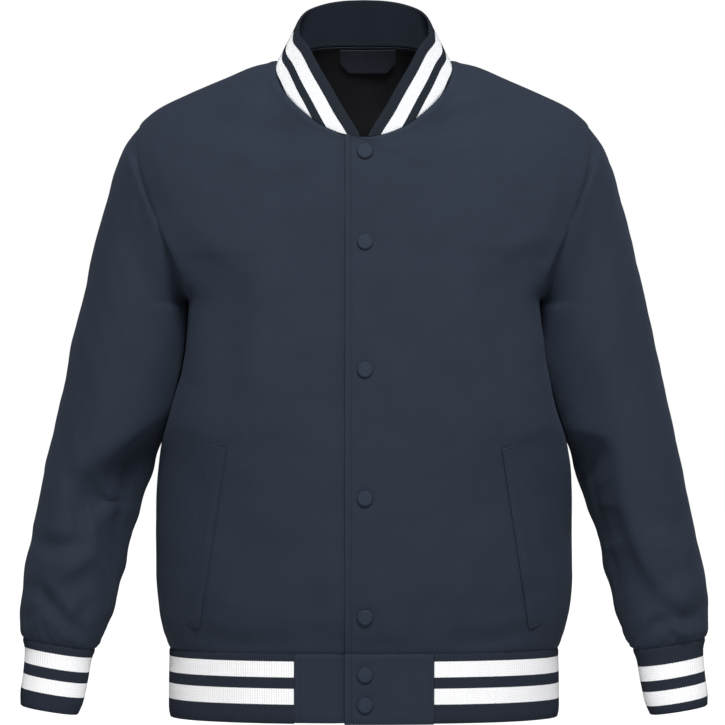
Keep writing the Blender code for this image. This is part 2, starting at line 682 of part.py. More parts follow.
# ---- the jacket -------------------------------------------------------------------------------------------
def main():
    for old in list(bpy.data.objects):
        bpy.data.objects.remove(old, do_unlink=True)
    shell = material("shell_cloth", NAVY_SHELL, SHELL_ROUGHNESS)
    rib = material("rib_knit", NAVY_RIB, RIB_ROUGHNESS)
    snap = material("snap_cap", NAVY_SNAP, SNAP_ROUGHNESS)
    label = material("label_cloth", NAVY_LABEL, SHELL_ROUGHNESS)
    jacket = bpy.data.objects.new("jacket", None)
    bpy.context.scene.collection.objects.link(jacket)
    panels = add_fronts(shell, jacket)
    add_back(shell, jacket)
    add_sleeves(shell, rib, jacket)
    add_collar(rib, jacket)
    add_waistband(shell, rib, jacket)
    add_welts(panels, shell, jacket)
    add_snaps(snap, jacket)
    add_wall("neck_label", label_grid(), LABEL_WALL, label, jacket)


main()
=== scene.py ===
"""Looks of the varsity jacket: thin cloth shells on the form of the solids, creased, knitted and stitched.

The jacket faces -Y, the wearer's left is +X and +Z is up.  The origin is between the shoulders at the height
of the neck points.  Sizes are millimetres and become metres when a mesh is made.
"""

import math

import bpy
import numpy as np
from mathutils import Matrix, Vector


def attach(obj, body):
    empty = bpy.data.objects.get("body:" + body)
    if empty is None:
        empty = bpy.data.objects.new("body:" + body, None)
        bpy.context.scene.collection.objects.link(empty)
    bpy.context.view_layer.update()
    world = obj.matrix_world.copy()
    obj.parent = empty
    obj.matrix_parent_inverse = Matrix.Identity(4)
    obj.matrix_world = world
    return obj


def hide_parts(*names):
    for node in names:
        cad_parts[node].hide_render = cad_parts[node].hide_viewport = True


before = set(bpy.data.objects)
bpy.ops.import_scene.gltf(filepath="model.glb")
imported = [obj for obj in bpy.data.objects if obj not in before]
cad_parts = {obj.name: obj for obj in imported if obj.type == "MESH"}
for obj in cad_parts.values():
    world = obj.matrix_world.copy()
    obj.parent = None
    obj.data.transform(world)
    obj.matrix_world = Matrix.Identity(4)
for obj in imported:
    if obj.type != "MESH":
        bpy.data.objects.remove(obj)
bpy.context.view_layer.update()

MM = 0.001

# ---- the form, shared with the solids ----
SHELL_WALL = 1.5
RIB_WALL = 2.6
TAB_WALL = 2.6
WELT_WALL = 1.4
LABEL_WALL = 0.8
SEAM_GAP = 0.4
NECK_GAP = -0.8            # the sewn edges of ribs and sleeves reach under the cloth they are sewn to
SLEEVE_GAP = -0.3
LAP_GAP = 1.3
WELT_GAP = 0.9
LABEL_GAP = 2

BODY_COLUMNS = ("height", "half_width", "front_depth", "back_depth", "side_y", "roundness")
BODY_ROWS = (
    (-694, 206, 127, 121, -2, 2.3),
    (-622, 206, 127, 121, -2, 2.3),
    (-604, 212, 131, 123, -2, 2.3),
    (-583, 216.5, 135, 124, -2, 2.3),
    (-541, 220, 138, 123, -2, 2.3),
    (-470, 220, 138, 119, -1, 2.3),
    (-413, 215.5, 137, 117, 0, 2.7),
    (-366, 202, 135, 117, 1.5, 4),
    (-307, 189, 133, 119, 3, 5.2),
    (-258, 185.5, 130, 121, 4.5, 5),
    (-233, 205, 128, 122, 5, 3.8),
    (-208, 237, 125, 122, 6, 2.9),
    (-150, 286, 120, 121, 7, 2.4),
    (-100, 335, 116, 118, 8, 2.3),
    (-70, 372, 114, 116, 8, 2.3),
    (70, 430, 112, 114, 8, 2.3),
)
BODY_ROUNDNESS = 2.3
SHOULDER_COLUMNS = ("x", "height")
SHOULDER_ROWS = (
    (0, 50),
    (40, 37),
    (70, 15),
    (90, 0),
    (117, -6.5),
    (147, -19),
    (191, -38),
    (217, -51),
    (232, -63),
    (238, -70),
    (262, -110),
)
SHOULDER_ROUNDING = 217
FRONT_SHOULDER_POWER = 2
BACK_SHOULDER_POWER = 2.2
ARMPIT = -258
FRONT_NECK = ((0, -86), (21.5, -82), (43, -73), (60, -60.5), (77, -44), (88, -28),
              (93, -11), (90, 0))
BACK_NECK = ((0, 19), (20, 19), (40, 18), (60, 14), (80, 4), (90, 0))
ARMHOLE = ((185.5, -258), (187.5, -250), (191.5, -233), (201, -208), (213.5, -180),
           (225, -152), (233.5, -127), (239, -103), (240, -84), (238, -70))
FRONT_LAP = 19.5
LAP_RAMP = (21, 33)
HEM_SEAM = -622.4
CENTRE_ROWS = 5
BACK_SHOULDER_COLUMNS = 5

# columns: outer_x, outer_z, inner_x, inner_z, centre_y, half_depth
SLEEVE_ROWS = (
    (252, -90, 188.2, -262, 9, 77),
    (265, -118, 189.2, -267.5, 11, 77),
    (279, -174, 190.4, -280, 13, 76),
    (293.5, -235, 192.2, -304, 11.5, 75),
    (306, -287, 197, -336, 8.5, 74),
    (316, -335, 207, -370, 5, 72),
    (325, -376, 217, -400, 1, 70),
    (335, -423, 229, -447, -4, 66.5),
    (344.5, -473, 242.5, -497, -10, 63),
    (354, -517, 254, -540, -17, 59),
    (360.2, -558, 261, -570, -23, 55),
    (361.6, -583, 269, -594, -28, 51),
    (361.2, -598, 274.6, -608.5, -31, 45.5),
    (359, -610, 282.8, -622, -33.6, 38.2),
)
SLEEVE_ROUNDNESS = 2.2
CUFF_ROWS = (
    (358.8, -609.6, 283.1, -621.6, -33.8, 37.5),
    (356.4, -622, 287.2, -633.6, -35.3, 35.6),
    (358.2, -647, 290.8, -657.6, -38.5, 33.4),
    (361, -669, 295.4, -679.2, -41, 31.8),
    (360.2, -679.6, 300.6, -689.4, -42.5, 30.3),
)
COLLAR_TOP = ((11.5, -93, -73), (22.5, -82, -55), (34, -69, -34), (48.5, -50, -8.5),
              (59.5, -29, 13), (70, -2, 29), (69.8, 18, 41.5), (63.5, 37, 53),
              (49.5, 52, 60.5), (33.4, 60, 65), (17.2, 64, 67.1), (0, 65, 67.8))
COLLAR_END = 5
COLLAR_END_TOP = (5, -98, -84.4)
COLLAR_BULGE = 1
BAND_TOP = -621.8
BAND_BOTTOM = -693.5
TAB_END = 72.4
LEFT_TAB_BOTTOM = -694.4
RIGHT_TAB_BOTTOM = -692.8
WELT_CORNERS = ((171, -597), (186, -592.6), (161, -406), (142.5, -410))
SNAP_X = 1
SNAP_HEIGHTS = (-101, -195.7, -328.2, -461, -583.6, -643.5, -675)
LABEL_CENTRE = 4
LABEL_HALF_WIDTHS = (21, 30.5, 30.5)
LABEL_HEIGHTS = (-7, 3, 17.4)

# ---- creases ----
# A crease runs through three points seen from the front, +X towards the piece's own side.  A positive depth
# is a trough and a negative one a ridge; lean above 0 makes the side to the right of its run the softer one.
# With a lean of 1 the cloth falls away sharply on the right of the run, and with -1 on its left.
# columns: x0, z0, x1, z1, x2, z2, half_width, depth, lean
LEFT_FRONT_CREASES = (
    (52, -74, 96, -70, 145, -56, 14, 4.6, 0.2),
    (104, -206, 122, -300, 150, -400, 42, 16, -1),
    (213, -96, 197, -160, 176, -216, 26, 7, -1),
    (192, -180, 152, -210, 112, -250, 24, 4.5, -1),
    (182, -330, 186, -380, 196, -424, 14, 3.6, 0),
    (188, -425, 190, -478, 184, -540, 24, 7, -1),
    (150, -585, 176, -560, 196, -520, 15, 3, 0.1),
    (186, -586, 150, -604, 96, -609, 8, 2.4, 0),
    (60, -598, 78, -560, 84, -520, 13, 1.5, 0),
)
RIGHT_FRONT_CREASES = (
    (56, -76, 104, -78, 166, -58, 15, 5, 0.2),
    (84, -14, 100, -26, 104, -52, 10, 3.5, 0),
    (112, -206, 119, -300, 138, -400, 42, 17, -1),
    (222, -98, 206, -145, 182, -218, 28, 8, -1),
    (192, -176, 152, -208, 112, -246, 24, 5, -1),
    (176, -320, 190, -380, 196, -440, 15, 4, 0),
    (186, -450, 190, -520, 186, -580, 24, 6, -1),
    (190, -592, 150, -608, 90, -610, 8, 2.4, 0),
    (70, -540, 110, -520, 140, -470, 30, 2, 0),
)
BACK_CREASES = (
    (172, -228, 140, -310, 112, -384, 21, 7.3, 0.2),
    (-170, -222, -136, -300, -104, -366, 23, 7.8, -0.2),
    (196, -300, 168, -372, 150, -430, 15, 4, 0),
    (-196, -330, -176, -390, -160, -452, 16, 3.8, 0),
    (-92, -566, -10, -574, 74, -570, 16, 3.8, 0),
    (120, -590, 156, -578, 196, -584, 12, 3, 0),
    (-188, -596, -150, -584, -112, -590, 12, 2.7, 0),
    (170, -70, 150, -130, 160, -190, 26, 3.2, 0),
    (-176, -74, -158, -130, -166, -200, 26, 3, 0),
    (-150, -470, -60, -520, 40, -530, 24, 5, 1),
    (40, -300, 0, -420, 20, -520, 34, 2.6, 0),
)
LEFT_SLEEVE_FRONT = (
    (214, -398, 246, -400, 272, -432, 24, 6, 1),
    (266, -398, 266, -455, 278, -506, 28, 11, 1),
    (272, -470, 290, -530, 338, -584, 22, 12, 1),
    (318, -580, 338, -588, 358, -582, 8, 4.6, 0),
    (322, -594, 330, -601, 338, -609, 5, -3.2, 0),
    (318, -570, 336, -562, 356, -549, 11, -4, 0),
    (290, -606, 306, -594, 322, -598, 7, 3.6, 0),
    (256, -120, 240, -190, 222, -270, 24, 4, 0),
    (300, -470, 314, -488, 330, -486, 14, 3, 0),
    (216, -300, 232, -350, 240, -400, 16, 3.4, 0),
)
RIGHT_SLEEVE_FRONT = (
    (204, -362, 256, -414, 318, -438, 36, 25, 1),
    (294, -430, 308, -464, 300, -504, 24, 8, 1),
    (280, -478, 276, -522, 262, -572, 22, 7, 1),
    (352, -533, 322, -541, 284, -518, 13, -2.5, 0),
    (280, -522, 300, -538, 322, -550, 12, 5, 1),
    (345, -508, 318, -513, 292, -508, 9, 4.6, 0),
    (342, -556, 318, -583, 298, -602, 7, 4.2, 0),
    (352, -588, 338, -578, 330, -562, 6, 3, 0),
    (282, -572, 296, -590, 290, -612, 8, 3.6, 0),
    (256, -120, 240, -190, 218, -262, 24, 4, 0),
    (300, -330, 312, -380, 318, -430, 18, 2.6, 0),
)
SLEEVE_BACK = (
    (214, -330, 246, -392, 300, -424, 15, 8, 0.3),
    (226, -376, 260, -424, 322, -446, 13, 6.4, 0.2),
    (250, -500, 290, -520, 346, -508, 13, 5.4, 0),
    (266, -556, 300, -570, 352, -556, 11, 5.8, 0),
    (280, -596, 312, -590, 352, -594, 8, 4.5, 0),
    (246, -160, 240, -230, 244, -300, 24, 4.2, 0),
)

# ---- smooth tables ----
def curve(knots, values, at):
    """Points at positions on the cubic line through the knots; its slopes never overshoot."""
    knots = np.asarray(knots, float)
    values = np.asarray(values, float)
    flat = values.reshape(len(knots), -1)
    at = np.clip(np.asarray(at, float), knots[0], knots[-1])
    place = at.ravel()
    chords = np.diff(flat, axis=0) / np.diff(knots)[:, None]
    before, after = chords[:-1], chords[1:]
    same_way = before * after > 0
    total = np.where(same_way, before + after, 1.0)
    inner = np.where(same_way, 2 * before * after / total, 0.0)
    slopes = np.concatenate((chords[:1], inner, chords[-1:]))
    index = np.clip(np.searchsorted(knots, place, side="right") - 1, 0, len(knots) - 2)
    width = (knots[index + 1] - knots[index])[:, None]
    t = (place - knots[index])[:, None] / width
    start = (1 + 2 * t) * (1 - t) ** 2 * flat[index] + t * (1 - t) ** 2 * width * slopes[index]
    end = t * t * (3 - 2 * t) * flat[index + 1] + t * t * (t - 1) * width * slopes[index + 1]
    return (start + end).reshape(at.shape + values.shape[1:])


class Profile:
    """A table read at any position of its first column."""

    def __init__(self, columns, rows):
        data = np.array(rows, float)
        self.knots = data[:, 0]
        self.columns = {name: data[:, index] for index, name in enumerate(columns)}

    def at(self, column, position):
        return curve(self.knots, self.columns[column], position)


BODY = Profile(BODY_COLUMNS, BODY_ROWS)
WIDEST = dict(zip(BODY_COLUMNS, BODY_ROWS[4]))
SHOULDER = Profile(SHOULDER_COLUMNS, SHOULDER_ROWS)


def unit(vectors):
    return vectors / np.maximum(np.linalg.norm(vectors, axis=-1, keepdims=True), 1e-9)


def travelled(points):
    """Distance along a line of points, from its first one."""
    steps = np.linalg.norm(np.diff(points, axis=0), axis=-1)
    return np.concatenate((np.zeros((1,) + steps.shape[1:]), np.cumsum(steps, axis=0)))


def read_line(at, length, line):
    """Points of a line at distances along it; length holds those of the line's own points."""
    return np.stack([np.interp(at, length, line[:, axis]) for axis in range(3)], axis=1)


def smooth_step(low, high, value):
    t = np.clip((value - low) / (high - low), 0.0, 1.0)
    return t * t * (3 - 2 * t)


def bell(distance, width):
    return np.exp(-(distance / width) ** 2)


def squared(wave, roundness):
    """A sine or cosine for an oval that is squarer than an ellipse where its roundness is above 2."""
    return np.sign(wave) * np.abs(wave) ** (2.0 / roundness)


def oval_depth(reach, roundness):
    """Depth of that oval, as a share of its greatest, at a share of its half width."""
    return (1.0 - reach ** roundness) ** (1.0 / roundness)


# ---- creases, seams and the body's surface ----
CREASE_STEPS = 14
CREST = 0.12              # roundness of a sharp fold's crest, as a share of its half width
LIP = 0.32                # height of the soft lips beside a trough, as a share of its depth


def crease_depth(x, z, creases):
    """How far the cloth sinks at a point, from the creases that run past it."""
    sunk = np.zeros(np.broadcast(x, z).shape)
    steps = np.linspace(0.0, 1.0, CREASE_STEPS + 1)
    for x0, z0, x1, z1, x2, z2, half_width, depth, lean in creases:
        line_x = (1 - steps) ** 2 * x0 + 2 * steps * (1 - steps) * (2 * x1 - (x0 + x2) / 2) + steps ** 2 * x2
        line_z = (1 - steps) ** 2 * z0 + 2 * steps * (1 - steps) * (2 * z1 - (z0 + z2) / 2) + steps ** 2 * z2
        nearest = np.full(sunk.shape, 1e9)
        place = np.zeros(sunk.shape)
        side = np.zeros(sunk.shape)
        for number in range(CREASE_STEPS):
            run_x = line_x[number + 1] - line_x[number]
            run_z = line_z[number + 1] - line_z[number]
            away_x, away_z = x - line_x[number], z - line_z[number]
            along = np.clip((away_x * run_x + away_z * run_z) / (run_x ** 2 + run_z ** 2), 0.0, 1.0)
            distance = np.hypot(away_x - along * run_x, away_z - along * run_z)
            closer = distance < nearest
            nearest = np.where(closer, distance, nearest)
            place = np.where(closer, (number + along) / CREASE_STEPS, place)
            side = np.where(closer, away_x * run_z - away_z * run_x, side)
        if abs(lean) == 1.0:
            across = np.sign(side) * nearest * lean / half_width
            fallen = np.log1p(np.exp(np.clip(across / CREST, -40.0, 40.0))) * CREST
            fade = np.sin(np.pi * np.clip(place, 0.0, 1.0)) ** 0.9
            sunk = sunk + depth * fade * fallen * np.exp(1.0 - fallen)
            continue
        width = half_width * (1 + lean * np.tanh(side / (half_width * 12.0)))
        fade = np.sin(np.pi * np.clip(0.08 + 0.84 * place, 0.0, 1.0)) ** 0.8
        lips = LIP * bell(nearest - 1.9 * width, 0.8 * width)
        sunk = sunk + depth * fade * (bell(nearest, width) - lips)
    return sunk


# columns: wave length, direction in degrees, phase, height
RIPPLES = (
    (171.0, 12.0, 0.4, 0.50),
    (118.0, 64.0, 2.1, 0.42),
    (97.0, 131.0, 4.0, 0.36),
    (74.0, 38.0, 1.2, 0.26),
    (61.0, 158.0, 5.1, 0.22),
    (47.0, 95.0, 3.3, 0.16),
    (38.0, 20.0, 0.9, 0.12),
    (29.0, 118.0, 2.7, 0.08),
)


def ripple(x, z, shift):
    """The slight waviness of cloth that has been worn, the same everywhere in size and nowhere in place."""
    bent_x = x + 14.0 * np.sin(z / 53.0 + shift)
    bent_z = z + 11.0 * np.sin(x / 47.0 + 2.0 * shift)
    total = np.zeros(np.broadcast(x, z).shape)
    for length, direction, phase, height in RIPPLES:
        turn = math.radians(direction)
        along = bent_x * math.cos(turn) + bent_z * math.sin(turn)
        total = total + height * np.sin(2 * math.pi * along / length + phase + shift)
    return total


def body_y(x, z, face, creases=()):
    """Depth of the body's surface seen at (x, z): face is -1 for the front and +1 for the back."""
    front = face < 0
    power = FRONT_SHOULDER_POWER if front else BACK_SHOULDER_POWER
    drop = np.clip((SHOULDER.at("height", np.abs(x)) - z) / SHOULDER_ROUNDING, 0.0, 1.0)
    below_shoulder = (1.0 - (1.0 - drop) ** power) ** (1.0 / power)
    reach = np.clip(np.abs(x) / BODY.at("half_width", z), 0.0, 1.0)
    fullness = below_shoulder * oval_depth(reach, BODY.at("roundness", z))
    depth = BODY.at("front_depth" if front else "back_depth", z) * fullness
    sunk = crease_depth(x, z, creases) * fullness
    return BODY.at("side_y", z) + face * (depth - sunk + SEAM_GAP / 2)


def on_body(x, z, face, creases=()):
    x, z = np.broadcast_arrays(np.asarray(x, float), np.asarray(z, float))
    return np.stack([x, body_y(x, z, face, creases), z], axis=-1)


def grid_normals(grid, wrap=False):
    """Outward directions of a grid whose columns run left to right and rows upwards, seen from outside."""
    if wrap:
        across = np.roll(grid, -1, axis=1) - np.roll(grid, 1, axis=1)
    else:
        across = np.gradient(grid, axis=1)
    return unit(np.cross(across, np.gradient(grid, axis=0)))


def pushed(grid, sunk, wrap=False):
    """The grid moved inwards by the given depths."""
    return grid - grid_normals(grid, wrap) * np.broadcast_to(sunk, grid.shape[:2])[..., None]


ACROSS = np.array([-1.0, 1.0, 1.0])      # turns a point of one side into that of the other


def mirrored(grid):
    """The same piece on the wearer's right, still facing outwards."""
    return grid[:, ::-1] * ACROSS


def seam_dip(distance, depth=0.9, width=1.7, swell=0.5, reach=7.0):
    """Depth of the groove at a seam, with the slight swelling of the cloth beside it."""
    return depth * bell(distance, width) - swell * bell(distance - reach, 0.55 * reach)


# ---- shells ----
RIM_STEPS = 3
SEWN_RIMS = (0.15, 0.15, 0.15, 0.15)


def border(rows, columns, wrap):
    """The edges of a grid as chains of (row, column), with the grid on their left."""
    right = columns if wrap else columns - 1
    bottom = [(0, column) for column in range(right + 1)]
    top = [(rows - 1, column) for column in range(right, -1, -1)]
    if wrap:
        return [bottom, top]
    up = [(row, right) for row in range(1, rows - 1)]
    down = [(row, 0) for row in range(rows - 2, 0, -1)]
    return [bottom + up + top + down + [(0, 0)]]


def edge_directions(grid, wrap, bulge):
    """Directions out of the grid's edges, as long as its rims stand out (bulge: bottom, right, top, left)."""
    out = np.zeros(grid.shape)
    out[0] += unit(grid[0] - grid[1]) * bulge[0]
    out[-1] += unit(grid[-1] - grid[-2]) * bulge[2]
    if not wrap:
        out[:, -1] += unit(grid[:, -1] - grid[:, -2]) * bulge[1]
        out[:, 0] += unit(grid[:, 0] - grid[:, 1]) * bulge[3]
    return out


def shell(name, grid, wall, finishes, wrap=False, bulge=SEWN_RIMS, u=None, v=None, normals=None,
          sewn_under=False):
    """A closed cloth wall with soft rims. finishes are the outer and the inner material; u and v are in mm.
    The bottom rim of a piece sewn under another is of the inner material."""
    rows, columns = grid.shape[:2]
    if normals is None:
        normals = grid_normals(grid, wrap)
    inner = grid - normals * wall
    span = columns if wrap else columns - 1
    walk = np.concatenate((grid, grid[:, :1]), axis=1) if wrap else grid
    if u is None:
        u = travelled(walk.transpose(1, 0, 2)).T
    if v is None:
        v = travelled(walk)
    points = [grid.reshape(-1, 3), inner.reshape(-1, 3)]
    count = 2 * rows * columns
    r, c = np.meshgrid(np.arange(rows - 1), np.arange(span), indexing="ij")
    corner_r = np.stack([r, r, r + 1, r + 1], axis=-1).reshape(-1, 4)
    corner_c = np.stack([c, c + 1, c + 1, c], axis=-1).reshape(-1, 4)
    outer_faces = corner_r * columns + corner_c % columns
    corner_uv = np.stack([u[corner_r, corner_c], v[corner_r, corner_c]], axis=-1)
    faces = [outer_faces, outer_faces[:, ::-1] + rows * columns]
    uvs = [corner_uv, corner_uv[:, ::-1]]
    slots = [np.zeros(len(outer_faces), int), np.ones(len(outer_faces), int)]
    out = edge_directions(grid, wrap, bulge)
    for chain in border(rows, columns, wrap):
        chain = np.array(chain)
        unique = chain[:-1]
        cr, cc = unique[:, 0], unique[:, 1] % columns
        middle = (grid[cr, cc] + inner[cr, cc]) / 2
        half = (grid[cr, cc] - inner[cr, cc]) / 2
        loops = [cr * columns + cc]
        for step in range(1, RIM_STEPS):
            turn = math.pi * step / RIM_STEPS
            points.append(middle + half * math.cos(turn) + out[cr, cc] * math.sin(turn))
            loops.append(count + np.arange(len(unique)))
            count += len(unique)
        loops.append(cr * columns + cc + rows * columns)
        chain_uv = np.stack([u[chain[:, 0], chain[:, 1]], v[chain[:, 0], chain[:, 1]]], axis=-1)
        for step in range(RIM_STEPS):
            near, far = loops[step], loops[step + 1]
            near_next, far_next = np.roll(near, -1), np.roll(far, -1)
            faces.append(np.stack([far, far_next, near_next, near], axis=-1))
            uvs.append(np.stack([chain_uv[:-1], chain_uv[1:], chain_uv[1:], chain_uv[:-1]], axis=1))
            slots.append((np.full(len(near), step == RIM_STEPS - 1) | (sewn_under & (cr == 0))).astype(int))
    return joined_mesh(name, points, faces, uvs, slots, finishes)


def placed(name, data):
    """A new object of the scene, for a mesh, a lamp or a camera."""
    made = bpy.data.objects.new(name, data)
    bpy.context.scene.collection.objects.link(made)
    return made


def smooth_mesh(name, points, faces, finishes):
    mesh = bpy.data.meshes.new(name)
    mesh.from_pydata((np.concatenate(points) * MM).tolist(), [], faces)
    for finish in finishes:
        mesh.materials.append(finish)
    mesh.shade_smooth()
    return mesh


def joined_mesh(name, points, faces, uvs, slots, finishes):
    mesh = smooth_mesh(name, points, np.concatenate(faces).tolist(), finishes)
    layer = mesh.uv_layers.new(name="Cloth")
    layer.data.foreach_set("uv", (np.concatenate(uvs).reshape(-1, 2) * MM).ravel())
    mesh.polygons.foreach_set("material_index", np.concatenate(slots).astype("i"))
    return placed(name, mesh)


# ---- steps of the grids ----
SEAM_STEPS = (0.0, 0.6, 1.2, 1.9, 2.8, 4.0, 5.6, 7.6)     # the grid is finer beside a seam
CLOTH_STEP = 3.4
PLACKET_STEPS = (0.0, 0.4, 1.0, 1.9, 2.9, 3.8, 4.6, 5.3, 5.7, 6.1, 6.5, 7.1, 8.2, 10.2, 13.0, 16.0, 19.0,
                 22.0, 25.0, 28.5, 32.0, 35.5, 39.0, 42.5, 46.5)
PLACKET_STITCH = 6.0
ARMHOLE_PARTS = len(FRONT_NECK) + CENTRE_ROWS
RING_REPEAT = 5                  # fine points for each of the armhole's parts
CREASE_TURN = (-0.25, 0.35)      # sine of a ring's turn where the front creases fade in
BACK_STEP = CLOTH_STEP * 1.1
ARMHOLE_PART_LENGTH = 12.0
UPPER_ROWS = 64
STITCH_SINK = 0.85


def seamed_steps(length, step, at_start, at_end):
    """Positions along a length, finer beside the seams at its ends."""
    start = list(SEAM_STEPS) if at_start else [0.0]
    end = [length - s for s in reversed(SEAM_STEPS)] if at_end else [length]
    count = max(2, round((end[0] - start[-1]) / step))
    return np.array(start + list(np.linspace(start[-1], end[0], count + 1))[1:-1] + end)


def oval_shares(step, at_end):
    """Shares of a panel's half width, evenly spaced along its oval section."""
    turn = np.linspace(0.0, math.pi / 2, 600)
    x = squared(np.sin(turn), BODY_ROUNDNESS) * WIDEST["half_width"]
    y = squared(np.cos(turn), BODY_ROUNDNESS) * WIDEST["front_depth"]
    length = travelled(np.stack([x, y], axis=1))
    return np.interp(seamed_steps(length[-1], step, False, at_end), length, x) / x[-1]


def edge_distances(grid):
    """Distances of every point from the left, right, bottom and top edges, along the grid."""
    across = travelled(grid.transpose(1, 0, 2)).T
    along = travelled(grid)
    return across, across[:, -1:] - across, along, along[-1:] - along


def away_from(*distances, reach=26.0):
    """0 at the given edges and 1 well inside."""
    result = 1.0
    for distance in distances:
        result = result * smooth_step(0.0, reach, distance)
    return result


def gathers(along_seam, from_seam, pitch, depth, reach, shift):
    """Small puckers where a fuller edge is sewn to a rib."""
    wander = along_seam + 0.35 * pitch * np.sin(along_seam / (2.3 * pitch) + shift)
    turn = 2 * math.pi * wander / pitch
    wave = np.sin(turn) + 0.6 * np.sin(turn / 1.7 + shift)
    return depth * wave * np.exp(-(from_seam / reach) ** 1.4) * smooth_step(0.0, 3.0, from_seam)


def other_side(creases):
    """Creases of the back as the wearer's right side sees them."""
    return tuple((-x0, z0, -x1, z1, -x2, z2, width, depth, -lean)
                 for x0, z0, x1, z1, x2, z2, width, depth, lean in creases)


# ---- fronts and back ----
def upper_steps():
    """Rows above the armpit, counted in parts of the armhole."""
    last = ARMHOLE_PARTS - np.array(SEAM_STEPS[::-1]) / ARMHOLE_PART_LENGTH
    return np.concatenate((np.linspace(0.0, last[0], UPPER_ROWS)[1:-1], last))


def lower_heights():
    return seamed_steps(ARMPIT - HEM_SEAM, CLOTH_STEP, True, False) + HEM_SEAM


def armhole_edge(steps):
    points = np.array(ARMHOLE)
    length = travelled(points)
    return curve(length, points, length[-1] * steps / ARMHOLE_PARTS)


def snap_dimples(x, z):
    sunk = np.zeros(x.shape)
    for height in SNAP_HEIGHTS:
        distance = np.hypot(x - SNAP_X, z - height)
        sunk += 0.8 * bell(distance, 11.0) - 0.25 * bell(distance - 17.0, 6.0)
    return sunk


def placket_stitching(from_edge):
    return STITCH_SINK * bell(from_edge - PLACKET_STITCH, 0.75)


def front_grid(creases, under, shift):
    half_width = WIDEST["half_width"]
    placket = np.array(PLACKET_STEPS) / (half_width + FRONT_LAP)
    beyond = oval_shares(CLOTH_STEP, True)
    beyond = beyond[beyond * half_width > PLACKET_STEPS[-1] - FRONT_LAP + 2.0]
    share = np.concatenate((placket, (FRONT_LAP + half_width * beyond) / (half_width + FRONT_LAP)))
    lower = lower_heights()
    steps = upper_steps()
    neck = np.array(FRONT_NECK)
    corner = float(curve(neck[:4, 0], neck[:4, 1], FRONT_LAP))
    inner = [(-FRONT_LAP, z) for z in np.linspace(ARMPIT, corner, CENTRE_ROWS + 1)] + list(FRONT_NECK)
    inner_upper = curve(np.arange(len(inner)), inner, steps)
    inner_ends = np.concatenate((np.stack([np.full(len(lower), -FRONT_LAP), lower], axis=1), inner_upper))
    side = np.stack([BODY.at("half_width", lower), lower], axis=1)
    outer_ends = np.concatenate((side, armhole_edge(steps)))
    part = np.concatenate((np.zeros(len(lower)), steps))
    neckward = np.clip((part - CENTRE_ROWS) / (ARMHOLE_PARTS - CENTRE_ROWS), 0.0, 1.0)
    across = outer_ends - inner_ends
    x, z = (inner_ends[:, axis:axis + 1] + across[:, axis:axis + 1] * share for axis in (0, 1))
    z = z + (SHOULDER.at("height", x[-1]) - z[-1]) * neckward[:, None] ** 2
    grid = on_body(x, z, -1, creases)
    if under:
        grid[..., 1] += (SHELL_WALL + LAP_GAP) * (1.0 - smooth_step(*LAP_RAMP, x))
    left, right, bottom, top = edge_distances(grid)
    at_neck = smooth_step(CENTRE_ROWS - 0.3, CENTRE_ROWS + 0.5, part)[:, None]
    sunk = seam_dip(right, depth=0.5, swell=0.15) + seam_dip(bottom, depth=1.3, swell=0.6) + seam_dip(top)
    sunk += at_neck * seam_dip(left, depth=1.0, swell=0.8)
    sunk += ripple(x, z, shift) * away_from(right, bottom, top) * away_from(left, reach=40.0)
    sunk += gathers(x, bottom, 15.0, 0.35, 26.0, shift) * away_from(left, right, reach=30.0)
    if not under:
        edge_roll = 0.25 * bell(left - PLACKET_STITCH / 2, 1.8)
        sunk += (1.0 - at_neck) * (placket_stitching(left) - edge_roll) + snap_dimples(x, z)
    return pushed(grid, sunk), part


def back_grid():
    share = oval_shares(BACK_STEP, True)
    lower = lower_heights()
    steps = upper_steps()
    neck_parts = len(BACK_NECK) - 1
    parts = neck_parts + BACK_SHOULDER_COLUMNS
    shoulder_x = np.linspace(BACK_NECK[-1][0], ARMHOLE[-1][0], BACK_SHOULDER_COLUMNS + 1)[1:]
    shoulder = np.stack([shoulder_x, SHOULDER.at("height", shoulder_x)], axis=1)
    place = np.arcsin(np.clip(share ** (BODY_ROUNDNESS / 2), 0.0, 1.0)) / (math.pi / 2) * parts
    top = curve(np.arange(parts + 1), np.concatenate([np.array(BACK_NECK), shoulder]), place)
    over = top[:, 0] > BACK_NECK[-1][0]
    top[over, 1] = SHOULDER.at("height", top[over, 0])
    bottom = np.stack([ARMHOLE[0][0] * share, np.full(len(share), ARMPIT)], axis=1)
    low_x = BODY.at("half_width", lower)[:, None] * share
    low = np.stack([low_x, np.broadcast_to(lower[:, None], low_x.shape)], axis=2)
    edge = armhole_edge(steps)
    t = (steps / ARMHOLE_PARTS)[:, None, None]
    bow = edge - ((1 - t[:, 0]) * np.array(ARMHOLE[0]) + t[:, 0] * np.array(ARMHOLE[-1]))
    high = (1 - t) * bottom + t * top + share[None, :, None] ** 2 * bow[:, None, :]
    half = np.concatenate((low, high))
    flat = np.concatenate([half[:, :0:-1] * ACROSS[:2], half], axis=1)[:, ::-1]
    x, z = flat[..., 0], flat[..., 1]
    grid = on_body(x, z, 1, BACK_CREASES)
    left, right, low_edge, top_edge = edge_distances(grid)
    sunk = seam_dip(right) + seam_dip(left) + seam_dip(top_edge) + seam_dip(low_edge, depth=1.3, swell=0.6)
    sunk += ripple(x, z, 2.6) * away_from(left, right, low_edge, top_edge)
    sunk += gathers(x, low_edge, 14.0, 0.7, 34.0, 1.9) * away_from(left, right, reach=30.0)
    return pushed(grid, sunk)


